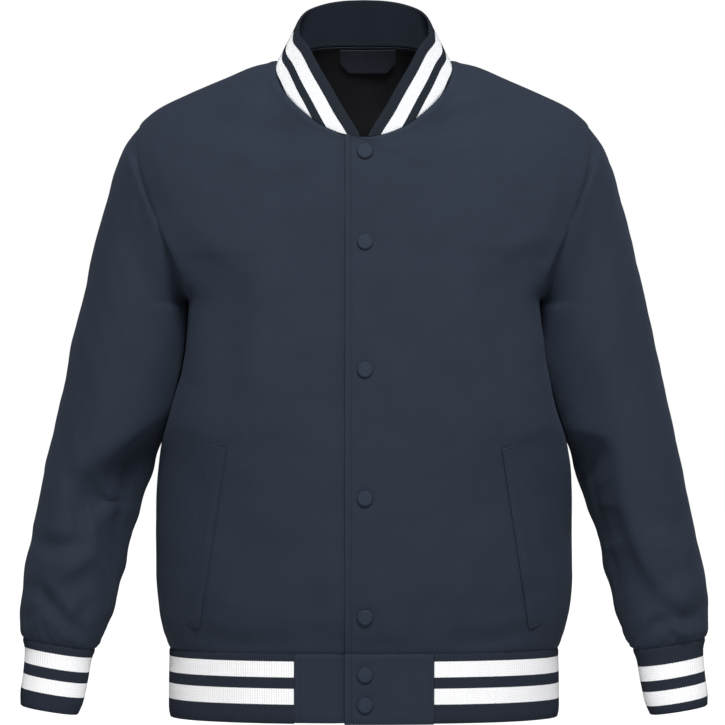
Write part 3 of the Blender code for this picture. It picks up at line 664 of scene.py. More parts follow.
# ---- sleeves, cuffs ----
def oval_rings(rows, turns):
    """Rings of a sleeve or cuff: turn 0 is the outer point and a quarter turn the front."""
    columns = np.array(rows).T[..., None]
    outer_x, outer_z, inner_x, inner_z, centre_y, half_depth = columns
    across, depth = squared(np.cos(turns), SLEEVE_ROUNDNESS), squared(np.sin(turns), SLEEVE_ROUNDNESS)
    x = (outer_x + inner_x) / 2 + across * (outer_x - inner_x) / 2
    z = (outer_z + inner_z) / 2 + across * (outer_z - inner_z) / 2
    return np.stack([x, centre_y - depth * half_depth, z], axis=-1)


def armhole_ring(front_creases, back_creases):
    """The armhole's edge as a ring: down the front from the shoulder, and up the back."""
    edge = armhole_edge(np.linspace(0.0, ARMHOLE_PARTS, ARMHOLE_PARTS * RING_REPEAT + 1))
    front = on_body(edge[:, 0], edge[:, 1], -1, front_creases)[::-1]
    back = on_body(edge[:, 0], edge[:, 1], 1, back_creases)
    seam = (front[0] + back[-1]) / 2
    armpit = (front[-1] + back[0]) / 2
    return np.concatenate([[seam], front[1:-1], [armpit], back[1:-1]])


def armhole_axis():
    """Direction in which the sleeve leaves the armhole."""
    down, top = ARMHOLE[0], ARMHOLE[-1]
    return unit(np.array([top[1] - down[1], 0.0, down[0] - top[0]]))


def sleeve_grid(front_creases, back_creases, sleeve_front, shift):
    edge = armhole_ring(front_creases, back_creases) + armhole_axis() * SLEEVE_GAP
    turns = np.linspace(0.0, 2 * math.pi, len(edge), endpoint=False)
    rings = np.concatenate((edge[None], oval_rings(SLEEVE_ROWS, turns)))
    length = travelled(rings).mean(axis=1)
    grid = curve(length, rings, seamed_steps(length[-1], CLOTH_STEP, True, True))
    x, z = grid[..., 0], grid[..., 2]
    along = travelled(grid)
    from_cuff = along[-1:] - along
    girth = travelled(np.concatenate((grid, grid[:, :1]), axis=1).transpose(1, 0, 2)).T
    around = girth[:, :-1]
    under_seam = np.abs(around - around[:, len(turns) // 2][:, None])
    facing = smooth_step(*CREASE_TURN, np.sin(turns))
    sunk = crease_depth(x, z, sleeve_front) * facing + crease_depth(x, z, SLEEVE_BACK) * (1.0 - facing)
    sunk *= away_from(from_cuff, reach=10.0) * away_from(along, reach=24.0)
    sunk += seam_dip(along, depth=0.2, swell=0.0, reach=9.0) + seam_dip(from_cuff, depth=0.6, swell=0.5)
    sunk += seam_dip(under_seam, depth=0.5, swell=0.2, reach=5.0)
    sunk += ripple(around - 0.3 * along, along, shift) * away_from(along, from_cuff)
    sunk += gathers(around, from_cuff, 13.0, 0.6, 26.0, shift)
    return against_side(pushed(grid, sunk, wrap=True))


RIB_PITCH = 2.6
RIB_COLUMNS = 4            # grid columns for each rib
RIB_RELIEF = 0.3
CUFF_RIBS = 84


def rib_places(columns):
    """Distances along a rib knit at its grid's columns."""
    return np.arange(columns) * RIB_PITCH / RIB_COLUMNS


def ribbed(grid, sunk, relief=1.0, wrap=False):
    """The grid with its dips and fine ribs along its columns, and the directions of the unribbed cloth."""
    smooth = pushed(grid, sunk, wrap)
    normals = grid_normals(smooth, wrap)
    wave = RIB_RELIEF * relief * np.sin(np.arange(grid.shape[1]) * 2 * math.pi / RIB_COLUMNS)
    return smooth + normals * np.broadcast_to(wave, grid.shape[:2])[..., None], normals


CONTACT_CLEAR = 0.9        # between the cloth of an arm and the side it lies against
CONTACT_PRESS = 9.0
CONTACT_HEIGHTS = (-425.0, -385.0, -266.0, -256.0)


def against_side(grid):
    """The inside of the sleeve laid flat against the body's side, from the armpit to below the chest."""
    x, y, z = grid[..., 0], grid[..., 1], grid[..., 2]
    depth_column = np.where(y < 0, BODY.at("front_depth", z), BODY.at("back_depth", z))
    reach = np.clip(np.abs(y - BODY.at("side_y", z)) / depth_column, 0.0, 1.0)
    side_x = BODY.at("half_width", z) * oval_depth(reach, BODY.at("roundness", z))
    low, full_low, full_high, high = CONTACT_HEIGHTS
    press = CONTACT_PRESS * smooth_step(low, full_low, z) * (1.0 - smooth_step(full_high, high, z))
    gap = x - side_x - CONTACT_CLEAR
    near = smooth_step(60.0, 0.0, gap)
    moved = np.maximum(x - press * near, np.minimum(x, side_x + CONTACT_CLEAR))
    result = grid.copy()
    result[..., 0] = np.where(z < ARMPIT, moved, x)
    return result


def cuff_grid():
    turns = np.linspace(0.0, 2 * math.pi, RIB_COLUMNS * CUFF_RIBS, endpoint=False)
    rings = oval_rings(CUFF_ROWS, turns)
    length = travelled(rings).mean(axis=1)
    grid = curve(length, rings, seamed_steps(length[-1], 5.0, True, False))
    along = travelled(grid)
    sunk = seam_dip(along, depth=0.8, swell=0.3, reach=5.0) - 0.5 * bell(along[-1:] - along, 5.0)
    sunk += 0.35 * ripple(turns * 40.0, along, 1.1)
    return ribbed(grid, sunk, wrap=True)


# ---- collar ----
COLLAR_MITRE = 0.35
COLLAR_LEVEL_COUNT = 17


def neck_points(places, creases):
    """Points of the neck seam, counted in the neckline's parts from the centre front to the centre back."""
    start_z = float(curve([0.0, FRONT_NECK[1][0]], [FRONT_NECK[0][1], FRONT_NECK[1][1]], COLLAR_END))
    front = np.array(((COLLAR_END, start_z),) + FRONT_NECK[1:])
    back = np.array(BACK_NECK[::-1])
    last_front = len(front) - 1
    on_front = curve(np.arange(len(front)), front, places)
    on_back = curve(np.arange(len(back)), back, places - last_front)
    front_points = on_body(on_front[:, 0], on_front[:, 1], -1, creases)
    back_points = on_body(on_back[:, 0], on_back[:, 1], 1)
    return np.where((places < last_front)[:, None], front_points, back_points)


def even_neck_places():
    parts = len(COLLAR_TOP)
    fine = np.linspace(0.0, parts, 1500)
    top = curve(np.arange(parts + 1), (COLLAR_END_TOP,) + COLLAR_TOP, fine)
    length = travelled((neck_points(fine, ()) + top) / 2)
    count = round(length[-1] / RIB_PITCH) * RIB_COLUMNS
    return np.interp(np.linspace(0.0, length[-1], count + 1), length, fine)


def half_collar(creases, places):
    top = curve(np.arange(len(COLLAR_TOP) + 1), (COLLAR_END_TOP,) + COLLAR_TOP, places)
    seam = neck_points(places, creases)
    seam = seam + unit(top - seam) * NECK_GAP
    rise = top - seam
    away = unit(seam * np.array([1.0, 1.0, 0.0]))
    height = np.linalg.norm(rise, axis=1)
    levels = np.linspace(0.0, 1.0, COLLAR_LEVEL_COUNT)[:, None]
    bulge = COLLAR_BULGE * 4 * levels * (1 - levels) * height / height.max()
    return seam + rise * levels[..., None] + away * bulge[..., None], (1 - levels) * height


def make_collar(name, finishes):
    places = even_neck_places()
    left, left_drop = half_collar(LEFT_FRONT_CREASES, places)
    right, right_drop = half_collar(RIGHT_FRONT_CREASES, places)
    grid = np.concatenate([left, mirrored(right)[:, 1:]], axis=1)
    drop = np.concatenate([left_drop, right_drop[:, ::-1][:, 1:]], axis=1)
    along = travelled(grid)
    sunk = 0.5 * bell(along, 2.0) - 0.35 * bell(along - 6.0, 4.0)
    sunk = sunk * smooth_step(0.0, 12.0, drop) - 0.3 * bell(drop - 3.0, 3.5)
    grid, normals = ribbed(grid, sunk, smooth_step(1.0, 4.0, drop))
    normals[0] = unit(normals[0] - COLLAR_MITRE * unit(grid[1] - grid[0]))
    u = np.broadcast_to(rib_places(grid.shape[1]), drop.shape)
    return shell(name, grid, RIB_WALL, finishes, bulge=(0.1, 0.6, 1.2, 0.6), u=u, v=drop, normals=normals,
                 sewn_under=True)


# ---- waistband ----
BAND_STEP = 5.0
TAB_STEP = 3.4
TAB_OUTER_STEPS = (9.5, 7.6, 6.2, 5.4, 4.9, 4.5, 4.1, 3.6, 2.6, 1.4, 0.7, 0.0)      # back from its sewn end


def band_section():
    """The waistband's section from the left tab round the back to the right one, in even steps."""
    half_width = float(BODY.at("half_width", BAND_BOTTOM))
    start = math.asin(((TAB_END + SEAM_GAP) / half_width) ** (BODY_ROUNDNESS / 2))
    front, back = (half_width * squared(np.sin(turns), BODY_ROUNDNESS) for turns in (
        np.linspace(start, math.pi / 2, 800), np.linspace(math.pi / 2, 3 * math.pi / 2, 2000)))
    left = on_body(front, BAND_BOTTOM, -1)
    path = np.concatenate([left, on_body(back, BAND_BOTTOM, 1), left[::-1] * ACROSS])
    length = travelled(path)
    count = round(length[-1] / RIB_PITCH) * RIB_COLUMNS
    return read_line(np.linspace(0.0, length[-1], count + 1), length, path)


def make_band(name, finishes):
    section = band_section()
    drop = seamed_steps(BAND_TOP - BAND_BOTTOM, BAND_STEP, True, False)[::-1]
    grid = np.repeat(section[None], len(drop), axis=0)
    grid[..., 2] = BAND_TOP - drop[:, None]
    from_top, from_bottom = drop[:, None], drop[0] - drop[:, None]
    sunk = seam_dip(from_top, depth=0.7, swell=0.2, reach=5.0) + 1.4 * bell(from_bottom, 4.5)
    sunk = sunk + 0.5 * ripple(travelled(section)[None], from_top, 0.7)
    grid, normals = ribbed(grid, sunk)
    u, v = np.broadcast_arrays(rib_places(grid.shape[1]), from_top)
    return shell(name, grid, RIB_WALL, finishes, bulge=(1.2, 0.1, 0.1, 0.1), u=u, v=v, normals=normals)


def tab_grid(bottom, under):
    outer_end = TAB_END - np.array(TAB_OUTER_STEPS)
    lap = np.array(PLACKET_STEPS) - FRONT_LAP
    x = np.concatenate((lap, np.arange(lap[-1] + TAB_STEP, outer_end[0] - 2.0, TAB_STEP), outer_end))
    z = (BAND_TOP - seamed_steps(BAND_TOP - bottom, TAB_STEP, True, True))[::-1]
    x, z = np.meshgrid(x, z)
    grid = on_body(x, z, -1)
    if under:
        grid[..., 1] += (TAB_WALL + LAP_GAP) * (1.0 - smooth_step(*LAP_RAMP, x))
    left, right, low, high = edge_distances(grid)
    sunk = seam_dip(high, depth=0.8, swell=0.3, reach=5.0) + bell(low, 3.0)
    sunk += 0.6 * bell(right - 4.7, 0.8) + 0.5 * bell(right, 1.6)
    sunk += 0.5 * ripple(x, z, 4.2) * away_from(high, right, reach=12.0)
    if not under:
        sunk += placket_stitching(left) + snap_dimples(x, z)
    return pushed(grid, sunk)


# ---- welts, snaps, label, stitches ----
WELT_STEP = 3.2
WELT_ACROSS = (0.0, 0.6, 1.4, 2.0, 2.6, 4.0, 7.0, 10.0, 13.0, 15.4, 17.0, 18.0)


def welt_grid(panel):
    lower_inner, lower_outer, upper_outer, upper_inner = (np.array(corner) for corner in WELT_CORNERS)
    rise = upper_inner[1] - lower_inner[1]
    share_v = seamed_steps(rise, WELT_STEP, True, True) / rise
    share_u = np.array(WELT_ACROSS) / WELT_ACROSS[-1]
    heights = lower_heights()
    rows = []
    for v in share_v:
        inner = (1 - v) * lower_inner + v * upper_inner
        outer = (1 - v) * lower_outer + v * upper_outer
        row = []
        for u in share_u:
            x, z = (1 - u) * inner + u * outer
            place = int(np.clip(np.searchsorted(heights, z) - 1, 0, len(heights) - 2))
            t = (z - heights[place]) / (heights[place + 1] - heights[place])
            line = (1 - t) * panel[place] + t * panel[place + 1]
            row.append((x, float(np.interp(x, line[:, 0], line[:, 1])), z))
        rows.append(row)
    grid = np.array(rows)
    left, right, low, high = edge_distances(grid)
    lift = WELT_GAP + WELT_WALL - 1.7 * smooth_step(4.0, 17.0, left)
    stitched = 0.35 * sum(bell(edge - 2.4, 0.7) for edge in (left, low, high))
    return pushed(grid, stitched - lift)


CAP_TOP = 3.0
# columns: radius, height
CAP_PROFILE = ((2.0, 2.95), (4.2, 2.8), (5.6, 2.7), (6.3, 2.75), (7.2, 2.55), (7.9, 1.9), (8.3, 1.0),
               (8.2, 0.1), (7.8, -0.6))
CAP_SEGMENTS = 48
CAP_PATCH = np.array((-6.0, 0.0, 6.0))      # the cloth that a cap's direction is read from
CAP_SINK = 0.5


def snap_cap(name, z, finish):
    patch = on_body(*np.meshgrid(SNAP_X + CAP_PATCH, z + CAP_PATCH), -1)
    normal = grid_normals(patch)[1, 1]
    turn = np.linspace(0.0, 2 * math.pi, CAP_SEGMENTS, endpoint=False)
    points = [np.array([[0.0, 0.0, CAP_TOP]])]
    points += [np.stack([r * np.cos(turn), r * np.sin(turn), np.full(CAP_SEGMENTS, h)], axis=1)
               for r, h in CAP_PROFILE]
    points += [np.array([[0.0, 0.0, CAP_PROFILE[-1][1]]])]
    steps = [(a, (a + 1) % CAP_SEGMENTS) for a in range(CAP_SEGMENTS)]
    faces = [(0, 1 + a, 1 + b) for a, b in steps]
    last = 1 + (len(CAP_PROFILE) - 1) * CAP_SEGMENTS
    for upper in range(1, last, CAP_SEGMENTS):
        lower = upper + CAP_SEGMENTS
        faces += [(upper + a, lower + a, lower + b, upper + b) for a, b in steps]
    faces += [(last + b, last + a, last + CAP_SEGMENTS) for a, b in steps]
    mesh = smooth_mesh(name, points, faces, [finish])
    mesh.set_sharp_from_angle(angle=math.radians(60.0))
    cap = placed(name, mesh)
    cap.location = Vector(((patch[1, 1] + normal * (SEAM_GAP - CAP_SINK)) * MM).tolist())
    cap.rotation_mode = "QUATERNION"
    cap.rotation_quaternion = Vector(normal.tolist()).to_track_quat("Z", "Y")
    return cap


def label_grid():
    z = np.linspace(LABEL_HEIGHTS[0], LABEL_HEIGHTS[-1], 22)
    half = np.interp(z, LABEL_HEIGHTS, LABEL_HALF_WIDTHS)
    x = np.linspace(-1.0, 1.0, 44) * half[:, None] + LABEL_CENTRE
    grid = on_body(x, np.broadcast_to(z[:, None], x.shape), 1)
    high = edge_distances(grid)[3]
    return pushed(grid, 0.25 * bell(high - 2.5, 0.8) - (SHELL_WALL + LABEL_GAP + LABEL_WALL))


STITCH_PITCH = 3.0
STITCH_HALF = (1.15, 0.3, 0.24)      # along its run, across it, and up
STITCH_LIFT = 0.12


def stitches(name, lines, finish):
    """One mesh of threads; each line is a row of points with the cloth's outward directions at them."""
    points, faces, count = [], [], 0
    for line, outward in lines:
        length = travelled(line)
        number = max(2, int(length[-1] / STITCH_PITCH))
        at = (np.arange(number) + 0.5) * length[-1] / number
        run = unit(read_line(at + 0.5, length, line) - read_line(at - 0.5, length, line))
        up = unit(read_line(at, length, outward))
        centre = read_line(at, length, line) + up * STITCH_LIFT
        long, wide, high = (way * half for way, half in zip((run, unit(np.cross(up, run)), up), STITCH_HALF))
        six = [centre + long, centre + wide, centre - long, centre - wide, centre + high, centre - high]
        points.append(np.stack(six, axis=1).reshape(-1, 3))
        base = count + 6 * np.arange(number)[:, None]
        for a, b in ((0, 1), (1, 2), (2, 3), (3, 0)):
            faces += [base + np.array([[a, b, 4]]), base + np.array([[b, a, 5]])]
        count += 6 * number
    return placed(name, smooth_mesh(name, points, np.concatenate(faces).tolist(), [finish]))


# ---- materials ----
WAVE_UNIT = 20.0           # the wave texture's bands for each 2 pi of its scale


def linear(display_colour, factor=1.0):
    return tuple(((value / 255 + 0.055) / 1.055) ** 2.4 * factor for value in display_colour) + (1.0,)


class Finish:
    """A Principled material with short ways to add nodes; lengths on the cloth are in millimetres."""

    def __init__(self, name, roughness, specular, sheen=0.0, sheen_roughness=0.5, sheen_tint=(1, 1, 1, 1)):
        self.material = bpy.data.materials.new(name)
        self.material.use_nodes = True
        self.tree = self.material.node_tree
        self.shader = self.tree.nodes["Principled BSDF"]
        self.shader.inputs["Roughness"].default_value = roughness
        self.shader.inputs["Specular IOR Level"].default_value = specular
        self.shader.inputs["Sheen Weight"].default_value = sheen
        self.shader.inputs["Sheen Roughness"].default_value = sheen_roughness
        self.shader.inputs["Sheen Tint"].default_value = sheen_tint

    def node(self, kind, inputs=None, **settings):
        made = self.tree.nodes.new(kind)
        for key, value in settings.items():
            setattr(made, key, value)
        for key, value in (inputs or {}).items():
            if isinstance(value, bpy.types.NodeSocket):
                self.tree.links.new(value, made.inputs[key])
            else:
                made.inputs[key].default_value = value
        return made

    def cloth_position(self):
        uv = self.node("ShaderNodeUVMap", uv_map="Cloth")
        return self.node("ShaderNodeMapping", {"Vector": uv.outputs["UV"], "Scale": (1 / MM,) * 3}).outputs[0]

    def waves(self, position, period, direction, distortion=0.0, detail=0.0, detail_scale=1.0):
        made = self.node("ShaderNodeTexWave", {
            "Vector": position, "Scale": 2 * math.pi / WAVE_UNIT / period, "Distortion": distortion,
            "Detail": detail, "Detail Scale": detail_scale}, bands_direction=direction)
        return made.outputs["Fac"]

    def noise(self, position, size, detail=2.0, roughness=0.5):
        made = self.node("ShaderNodeTexNoise", {
            "Vector": position, "Scale": 1.0 / size, "Detail": detail, "Roughness": roughness})
        return made.outputs["Fac"]

    def math(self, operation, *values):
        return self.node("ShaderNodeMath", dict(enumerate(values)), operation=operation).outputs[0]

    def ramp(self, value, stops, constant=False):
        made = self.node("ShaderNodeValToRGB", {"Fac": value})
        ramp = made.color_ramp
        ramp.interpolation = "CONSTANT" if constant else "LINEAR"
        while len(ramp.elements) < len(stops):
            ramp.elements.new(1.0)
        for element, (place, colour) in zip(ramp.elements, stops):
            element.position = place
            element.color = colour
        return made.outputs["Color"]

    def tones(self, value, colour, low, high, start=0.3, end=0.7):
        """The colour at two shares of its brightness, by where the value is between the start and the end."""
        return self.ramp(value, ((start, linear(colour, low)), (end, linear(colour, high))))

    def shade(self, value, dark, start, end):
        """A multiplier that is dark up to the start and leaves all as it is from the end on."""
        return self.ramp(value, ((start, dark + (1.0,)), (end, (1.0, 1.0, 1.0, 1.0))))

    def mix(self, factor, first, second, blend="MIX"):
        made = self.node("ShaderNodeMix", data_type="RGBA", blend_type=blend)
        for socket, value in ((made.inputs[0], factor), (made.inputs[6], first), (made.inputs[7], second)):
            if isinstance(value, bpy.types.NodeSocket):
                self.tree.links.new(value, socket)
            else:
                socket.default_value = value
        return made.outputs[2]

    def bump(self, height, distance, strength, below=None):
        made = self.node("ShaderNodeBump", {"Height": height, "Distance": distance, "Strength": strength})
        if below is not None:
            self.tree.links.new(below, made.inputs["Normal"])
        return made.outputs["Normal"]

    def finish(self, colour=None, normal=None, roughness=None):
        for key, value in (("Base Color", colour), ("Normal", normal), ("Roughness", roughness)):
            if isinstance(value, bpy.types.NodeSocket):
                self.tree.links.new(value, self.shader.inputs[key])
            elif value is not None:
                self.shader.inputs[key].default_value = value
        return self.material


SHELL_COLOUR = (42, 49, 61)
RIB_COLOUR = (39, 44, 55)
INNER_RIB_COLOUR = (28, 32, 41)
WHITE_COLOUR = (250, 250, 251)
SNAP_COLOUR = (44, 52, 65)
# the lining's colour is partly its own dark navy and partly painted shade, darkened to stand in for the shade
# inside the neck
LINING_AND_SHADE_COLOUR = (17, 18, 22)
LABEL_COLOUR = (33, 38, 51)
THREAD_COLOUR = (31, 37, 47)
THREAD_PERIOD = 0.85       # of the woven shell
LOOP_PERIOD = 1.7          # of the knit along a rib
RAMP_LENGTH = 100.0        # of knit that the stripes' colour ramp spans


def woven(name, colour, roughness=0.78):
    cloth = Finish(name, roughness, 0.08, sheen=0.08, sheen_roughness=0.6, sheen_tint=linear((150, 165, 195)))
    position = cloth.cloth_position()
    warp = cloth.waves(position, THREAD_PERIOD, "X", distortion=0.5, detail=1.0, detail_scale=0.6)
    weft = cloth.waves(position, THREAD_PERIOD * 1.1, "Y", distortion=0.5, detail=1.0, detail_scale=0.6)
    weave = cloth.math("MULTIPLY", warp, weft)
    fleck = cloth.noise(position, 1.4, detail=3.0, roughness=0.7)
    cloud = cloth.noise(position, 26.0, detail=4.0, roughness=0.62)
    base = cloth.tones(cloud, colour, 0.93, 1.07)
    flecked = cloth.mix(0.5, base, cloth.tones(fleck, colour, 0.78, 1.2, end=0.75))
    # painted shade: the colour is darkened in the gaps between the threads, where the weave's bump is low;
    # the cloud and fleck tones are the cloth's own
    tone_and_weave_shade = cloth.mix(0.7, flecked, cloth.shade(weave, (0.82, 0.82, 0.83), 0.0, 0.6), "MULTIPLY")
    fine = cloth.bump(weave, 0.00012, 0.5)
    hairy = cloth.bump(fleck, 0.00022, 0.45, below=fine)
    soft = cloth.bump(cloth.noise(position, 9.0, detail=3.0, roughness=0.55), 0.0011, 0.28, below=hairy)
    return cloth.finish(tone_and_weave_shade, soft)


def knitted(name, stripes):
    """Rib knit. stripes are (distance from the edge that v starts at, colour)."""
    knit = Finish(name, 0.9, 0.08, sheen=0.04, sheen_roughness=0.6, sheen_tint=linear((160, 172, 196)))
    position = knit.cloth_position()
    rib = knit.waves(position, RIB_PITCH, "X")
    loops = knit.waves(position, LOOP_PERIOD, "Y", distortion=0.8, detail=1.0, detail_scale=1.0)
    fuzz = knit.noise(position, 0.9, detail=3.0, roughness=0.7)
    if len(stripes) > 1:
        apart = knit.node("ShaderNodeSeparateXYZ", {"Vector": position})
        ragged = knit.math("MULTIPLY", knit.math("SUBTRACT", fuzz, 0.5), 0.5)
        place = knit.math("ADD", apart.outputs["Y"], ragged)
        wavy = knit.math("ADD", place, knit.math("MULTIPLY", rib, 0.35))
        share = knit.math("DIVIDE", wavy, RAMP_LENGTH)
        stops = tuple((start / RAMP_LENGTH, linear(colour)) for start, colour in stripes)
        base = knit.ramp(share, stops, True)
    else:
        base = knit.tones(fuzz, stripes[0][1], 0.85, 1.12, 0.2, 0.8)
    # painted shade: the colour is darkened in the troughs between the ribs
    ribbed = knit.mix(0.75, base, knit.shade(rib, (0.90, 0.905, 0.92), 0.0, 0.7), "MULTIPLY")
    tufted = knit.mix(0.5, ribbed, knit.shade(fuzz, (0.9, 0.9, 0.9), 0.25, 0.7), "MULTIPLY")
    looped = knit.bump(loops, 0.0003, 0.45)
    hairy = knit.bump(fuzz, 0.0002, 0.4, below=looped)
    return knit.finish(tufted, hairy)


# the lining's look: its colour holds painted shade for the inside of the neck as well as the lining's own
# dark tone
def lining(name):
    satin = Finish(name, 0.5, 0.3, sheen=0.05)
    position = satin.cloth_position()
    threads = satin.waves(position, 0.5, "X", distortion=0.3)
    cloud = satin.noise(position, 30.0, detail=3.0)
    fine = satin.bump(threads, 0.00005, 0.3)
    soft = satin.bump(satin.noise(position, 14.0, detail=2.0), 0.0012, 0.25, below=fine)
    return satin.finish(satin.tones(cloud, LINING_AND_SHADE_COLOUR, 0.85, 1.1), soft)


def painted_cap(name):
    cap = Finish(name, 0.75, 0.08)
    position = cap.node("ShaderNodeTexCoord").outputs["Object"]
    mark = cap.noise(position, 0.0009, detail=3.0)
    rough = cap.math("MULTIPLY_ADD", mark, 0.12, 0.7)
    return cap.finish(cap.tones(mark, SNAP_COLOUR, 0.94, 1.06), cap.bump(mark, 0.00006, 0.25), rough)


def label_cloth(name):
    satin = Finish(name, 0.55, 0.3, sheen=0.1)
    threads = satin.waves(satin.cloth_position(), 0.45, "Y", distortion=0.2)
    colour = satin.tones(threads, LABEL_COLOUR, 0.9, 1.08, 0.0, 1.0)
    return satin.finish(colour, satin.bump(threads, 0.00006, 0.35))


def thread(name):
    made = Finish(name, 0.6, 0.35, sheen=0.1)
    position = made.node("ShaderNodeTexCoord").outputs["Object"]
    twist = made.noise(position, 0.0006, detail=1.0)
    return made.finish(made.tones(twist, THREAD_COLOUR, 0.85, 1.15), made.bump(twist, 0.0001, 0.4))


NAVY, WHITE = RIB_COLOUR, WHITE_COLOUR
# painted shade: the collar's navy and white are darker copies of the rib's navy and white, to take off the
# stronger light that falls on the collar
COLLAR_SHADED_NAVY, COLLAR_SHADED_WHITE = (30, 35, 43), (216, 217, 219)
COLLAR_STRIPES = ((0.0, COLLAR_SHADED_NAVY), (11.2, COLLAR_SHADED_WHITE), (26.2, COLLAR_SHADED_NAVY), (36.2, COLLAR_SHADED_WHITE),
                  (50.9, COLLAR_SHADED_NAVY))
BAND_STRIPES = ((0.0, NAVY), (8.2, WHITE), (24.5, NAVY), (36.1, WHITE), (52.6, NAVY))
RIGHT_CUFF_STRIPES = ((0.0, NAVY), (10.0, WHITE), (25.6, NAVY), (37.2, WHITE), (52.6, NAVY))
LEFT_CUFF_STRIPES = ((0.0, NAVY), (19.2, WHITE), (34.8, NAVY), (46.2, WHITE), (61.6, NAVY))

shell_cloth = woven("shell_cloth_look", SHELL_COLOUR)
welt_cloth = woven("welt_cloth_look", SHELL_COLOUR)
collar_knit = knitted("collar_knit_look", COLLAR_STRIPES)
band_knit = knitted("band_knit_look", BAND_STRIPES)
left_cuff_knit = knitted("left_cuff_look", LEFT_CUFF_STRIPES)
right_cuff_knit = knitted("right_cuff_look", RIGHT_CUFF_STRIPES)
plain_knit = knitted("plain_knit_look", ((0.0, INNER_RIB_COLOUR),))
lining_and_shade_cloth = lining("lining_and_shade_look")
cap_paint = painted_cap("snap_look")
label_finish = label_cloth("label_look")
thread_finish = thread("thread_look")


# ---- the jacket ----
FREE_EDGE = 0.5            # how far an edge that nothing is sewn to stands out in its rim
FRONT_RIMS = (0.15, 0.15, 0.15, FREE_EDGE)
TAB_RIMS = (1.0, 0.1, 0.1, 1.0)
CUFF_RIMS = (0.1, 0.0, 1.2, 0.0)
WELT_RIMS = (FREE_EDGE,) * 4
pieces = {}


def pair(node, name, grids, wall, finishes, bulge=SEWN_RIMS, wrap=False):
    """The wearer's left piece and the right one, which is drawn as a left one and mirrored."""
    bottom, outer, top, inner = bulge
    left, right = grids
    pieces[f"{node}_left"] = shell(f"{name}_left", left, wall, finishes, wrap, bulge)
    pieces[f"{node}_right"] = shell(f"{name}_right", mirrored(right), wall, finishes, wrap,
                                    (bottom, inner, top, outer))


lined = (shell_cloth, lining_and_shade_cloth)
left_front, front_part = front_grid(LEFT_FRONT_CREASES, False, 0.0)
right_front, _ = front_grid(RIGHT_FRONT_CREASES, True, 3.1)
sleeves = (sleeve_grid(LEFT_FRONT_CREASES, BACK_CREASES, LEFT_SLEEVE_FRONT, 0.9),
           sleeve_grid(RIGHT_FRONT_CREASES, other_side(BACK_CREASES), RIGHT_SLEEVE_FRONT, 4.4))
tabs = tab_grid(LEFT_TAB_BOTTOM, False), tab_grid(RIGHT_TAB_BOTTOM, True)
welts = welt_grid(left_front), welt_grid(right_front)
pair("front", "cloth_front", (left_front, right_front), SHELL_WALL, lined, FRONT_RIMS)
pieces["back"] = shell("cloth_back", back_grid(), SHELL_WALL, lined)
pair("sleeve", "cloth_sleeve", sleeves, SHELL_WALL, lined, wrap=True)
cuff, cuff_normals = cuff_grid()
cuff_u = np.tile(rib_places(cuff.shape[1] + 1), (cuff.shape[0], 1))
for side, turned, knit in (("left", np.array, left_cuff_knit), ("right", mirrored, right_cuff_knit)):
    pieces[f"cuff_{side}"] = shell(f"knit_cuff_{side}", turned(cuff), RIB_WALL, (knit, plain_knit), True,
                                   CUFF_RIMS, u=cuff_u, normals=turned(cuff_normals))
pieces["collar_rib"] = make_collar("knit_collar", (collar_knit, plain_knit))
pieces["waistband_rib"] = make_band("knit_waistband", (band_knit, plain_knit))
pair("waistband_tab", "cloth_tab", tabs, TAB_WALL, (shell_cloth, shell_cloth), TAB_RIMS)
pair("pocket_welt", "cloth_welt", welts, WELT_WALL, (welt_cloth, welt_cloth), WELT_RIMS)
pieces["neck_label"] = shell("cloth_label", label_grid(), LABEL_WALL, (label_finish, label_finish))


def ride(piece, node=None):
    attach(piece, "root")
    if node:
        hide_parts(node)
    return piece


for node_name, piece in pieces.items():
    ride(piece, node_name)
for number, height in enumerate(SNAP_HEIGHTS, start=1):
    ride(snap_cap(f"cap_{number}", height, cap_paint), f"snap_{number}")


def column_line(grid, column, rows=slice(None)):
    return grid[rows, column], grid_normals(grid)[rows, column]


def row_line(grid, row):
    return grid[row], grid_normals(grid)[row]


def welt_lines(welt):
    """Stitches along a welt's inner long edge and its two ends."""
    return [column_line(welt, 4), row_line(welt, 5), row_line(welt, -6)]


def flipped(lines):
    return [(line * ACROSS, outward * ACROSS) for line, outward in lines]


TAB_STITCH_COLUMN = -7
stitch_column = PLACKET_STEPS.index(6.1)
below_neck = slice(0, int(np.searchsorted(front_part, CENTRE_ROWS - 0.2)))
stitch_lines = {
    "front_left": [column_line(left_front, stitch_column, below_neck)],
    "waistband_tab_left": [column_line(tabs[0], column) for column in (stitch_column, TAB_STITCH_COLUMN)],
    "waistband_tab_right": flipped([column_line(tabs[1], TAB_STITCH_COLUMN)]),
    "pocket_welt_left": welt_lines(welts[0]),
    "pocket_welt_right": flipped(welt_lines(welts[1])),
}
threads = {name: ride(stitches(f"threads_{name}", lines, thread_finish))
           for name, lines in stitch_lines.items()}


# ---- floor, light and camera ----
FLOOR_HEIGHT = -1.45       # the hem of a worn jacket is about this far below the neck points above the floor
FLOOR_REACH = 30.0
VIEW_CENTRE = (-0.0016, 0.0, -0.3206)
VIEW_DISTANCE = 5.0
VIEW_WIDTH = 0.7685
SENSOR = 36.0
WORLD_COLOUR = (1.0, 1.0, 1.0, 1.0)
WORLD_LIGHT = 0.25
FLOOR_GLOW = 0.9
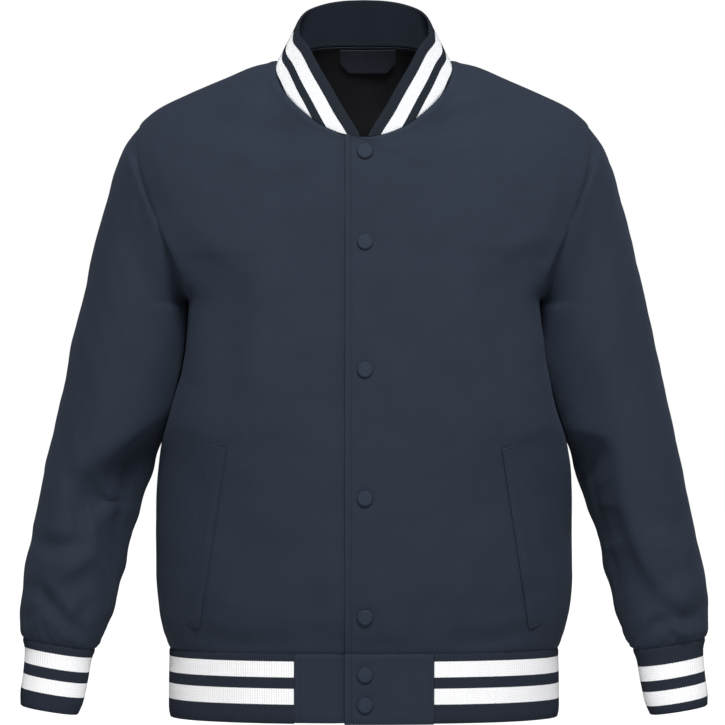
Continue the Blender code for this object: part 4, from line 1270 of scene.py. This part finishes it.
# columns: name, place, size, power in watts
LAMPS = (
    ("key", (0.2, -2.2, 2.1), 1.2, 112.0),
    ("fill", (0.3, -4.4, -0.2), 1.6, 24.0),
)

plane = bpy.data.meshes.new("floor")
corners = [(x * FLOOR_REACH, y * FLOOR_REACH, FLOOR_HEIGHT) for x, y in ((-1, -1), (1, -1), (1, 1), (-1, 1))]
plane.from_pydata(corners, [], [(0, 1, 2, 3)])
pale = Finish("floor_look", 0.9, 0.1)
seen = pale.node("ShaderNodeLightPath").outputs["Is Camera Ray"]
pale.tree.links.new(pale.math("MULTIPLY", seen, FLOOR_GLOW), pale.shader.inputs["Emission Strength"])
pale.shader.inputs["Emission Color"].default_value = WORLD_COLOUR
plane.materials.append(pale.finish((0.8, 0.8, 0.8, 1.0)))
placed("floor", plane)

world = bpy.data.worlds.new("studio")
world.use_nodes = True
studio = world.node_tree
studio.nodes["Background"].inputs["Color"].default_value = WORLD_COLOUR
brightness = studio.nodes.new("ShaderNodeMapRange")
brightness.inputs["To Min"].default_value = WORLD_LIGHT
studio.links.new(studio.nodes.new("ShaderNodeLightPath").outputs["Is Camera Ray"], brightness.inputs["Value"])
studio.links.new(brightness.outputs["Result"], studio.nodes["Background"].inputs["Strength"])
bpy.context.scene.world = world
bpy.context.scene.view_settings.view_transform = "Standard"

target = Vector(VIEW_CENTRE)
for name, place, size, power in LAMPS:
    light = bpy.data.lights.new(name, "AREA")
    light.shape = "DISK"
    light.size = size
    light.energy = power
    lamp = placed(name, light)
    lamp.location = place
    lamp.rotation_euler = (target - Vector(place)).to_track_quat("-Z", "Y").to_euler()

lens = bpy.data.cameras.new("camera")
lens.sensor_width = SENSOR
lens.lens = SENSOR * VIEW_DISTANCE / VIEW_WIDTH
lens.clip_end = 100.0
camera = bpy.data.objects.new("camera", lens)
camera.location = target - Vector((0.0, VIEW_DISTANCE, 0.0))
camera.rotation_euler = (math.pi / 2, 0.0, 0.0)
bpy.context.scene.collection.objects.link(camera)
bpy.context.scene.camera = camera
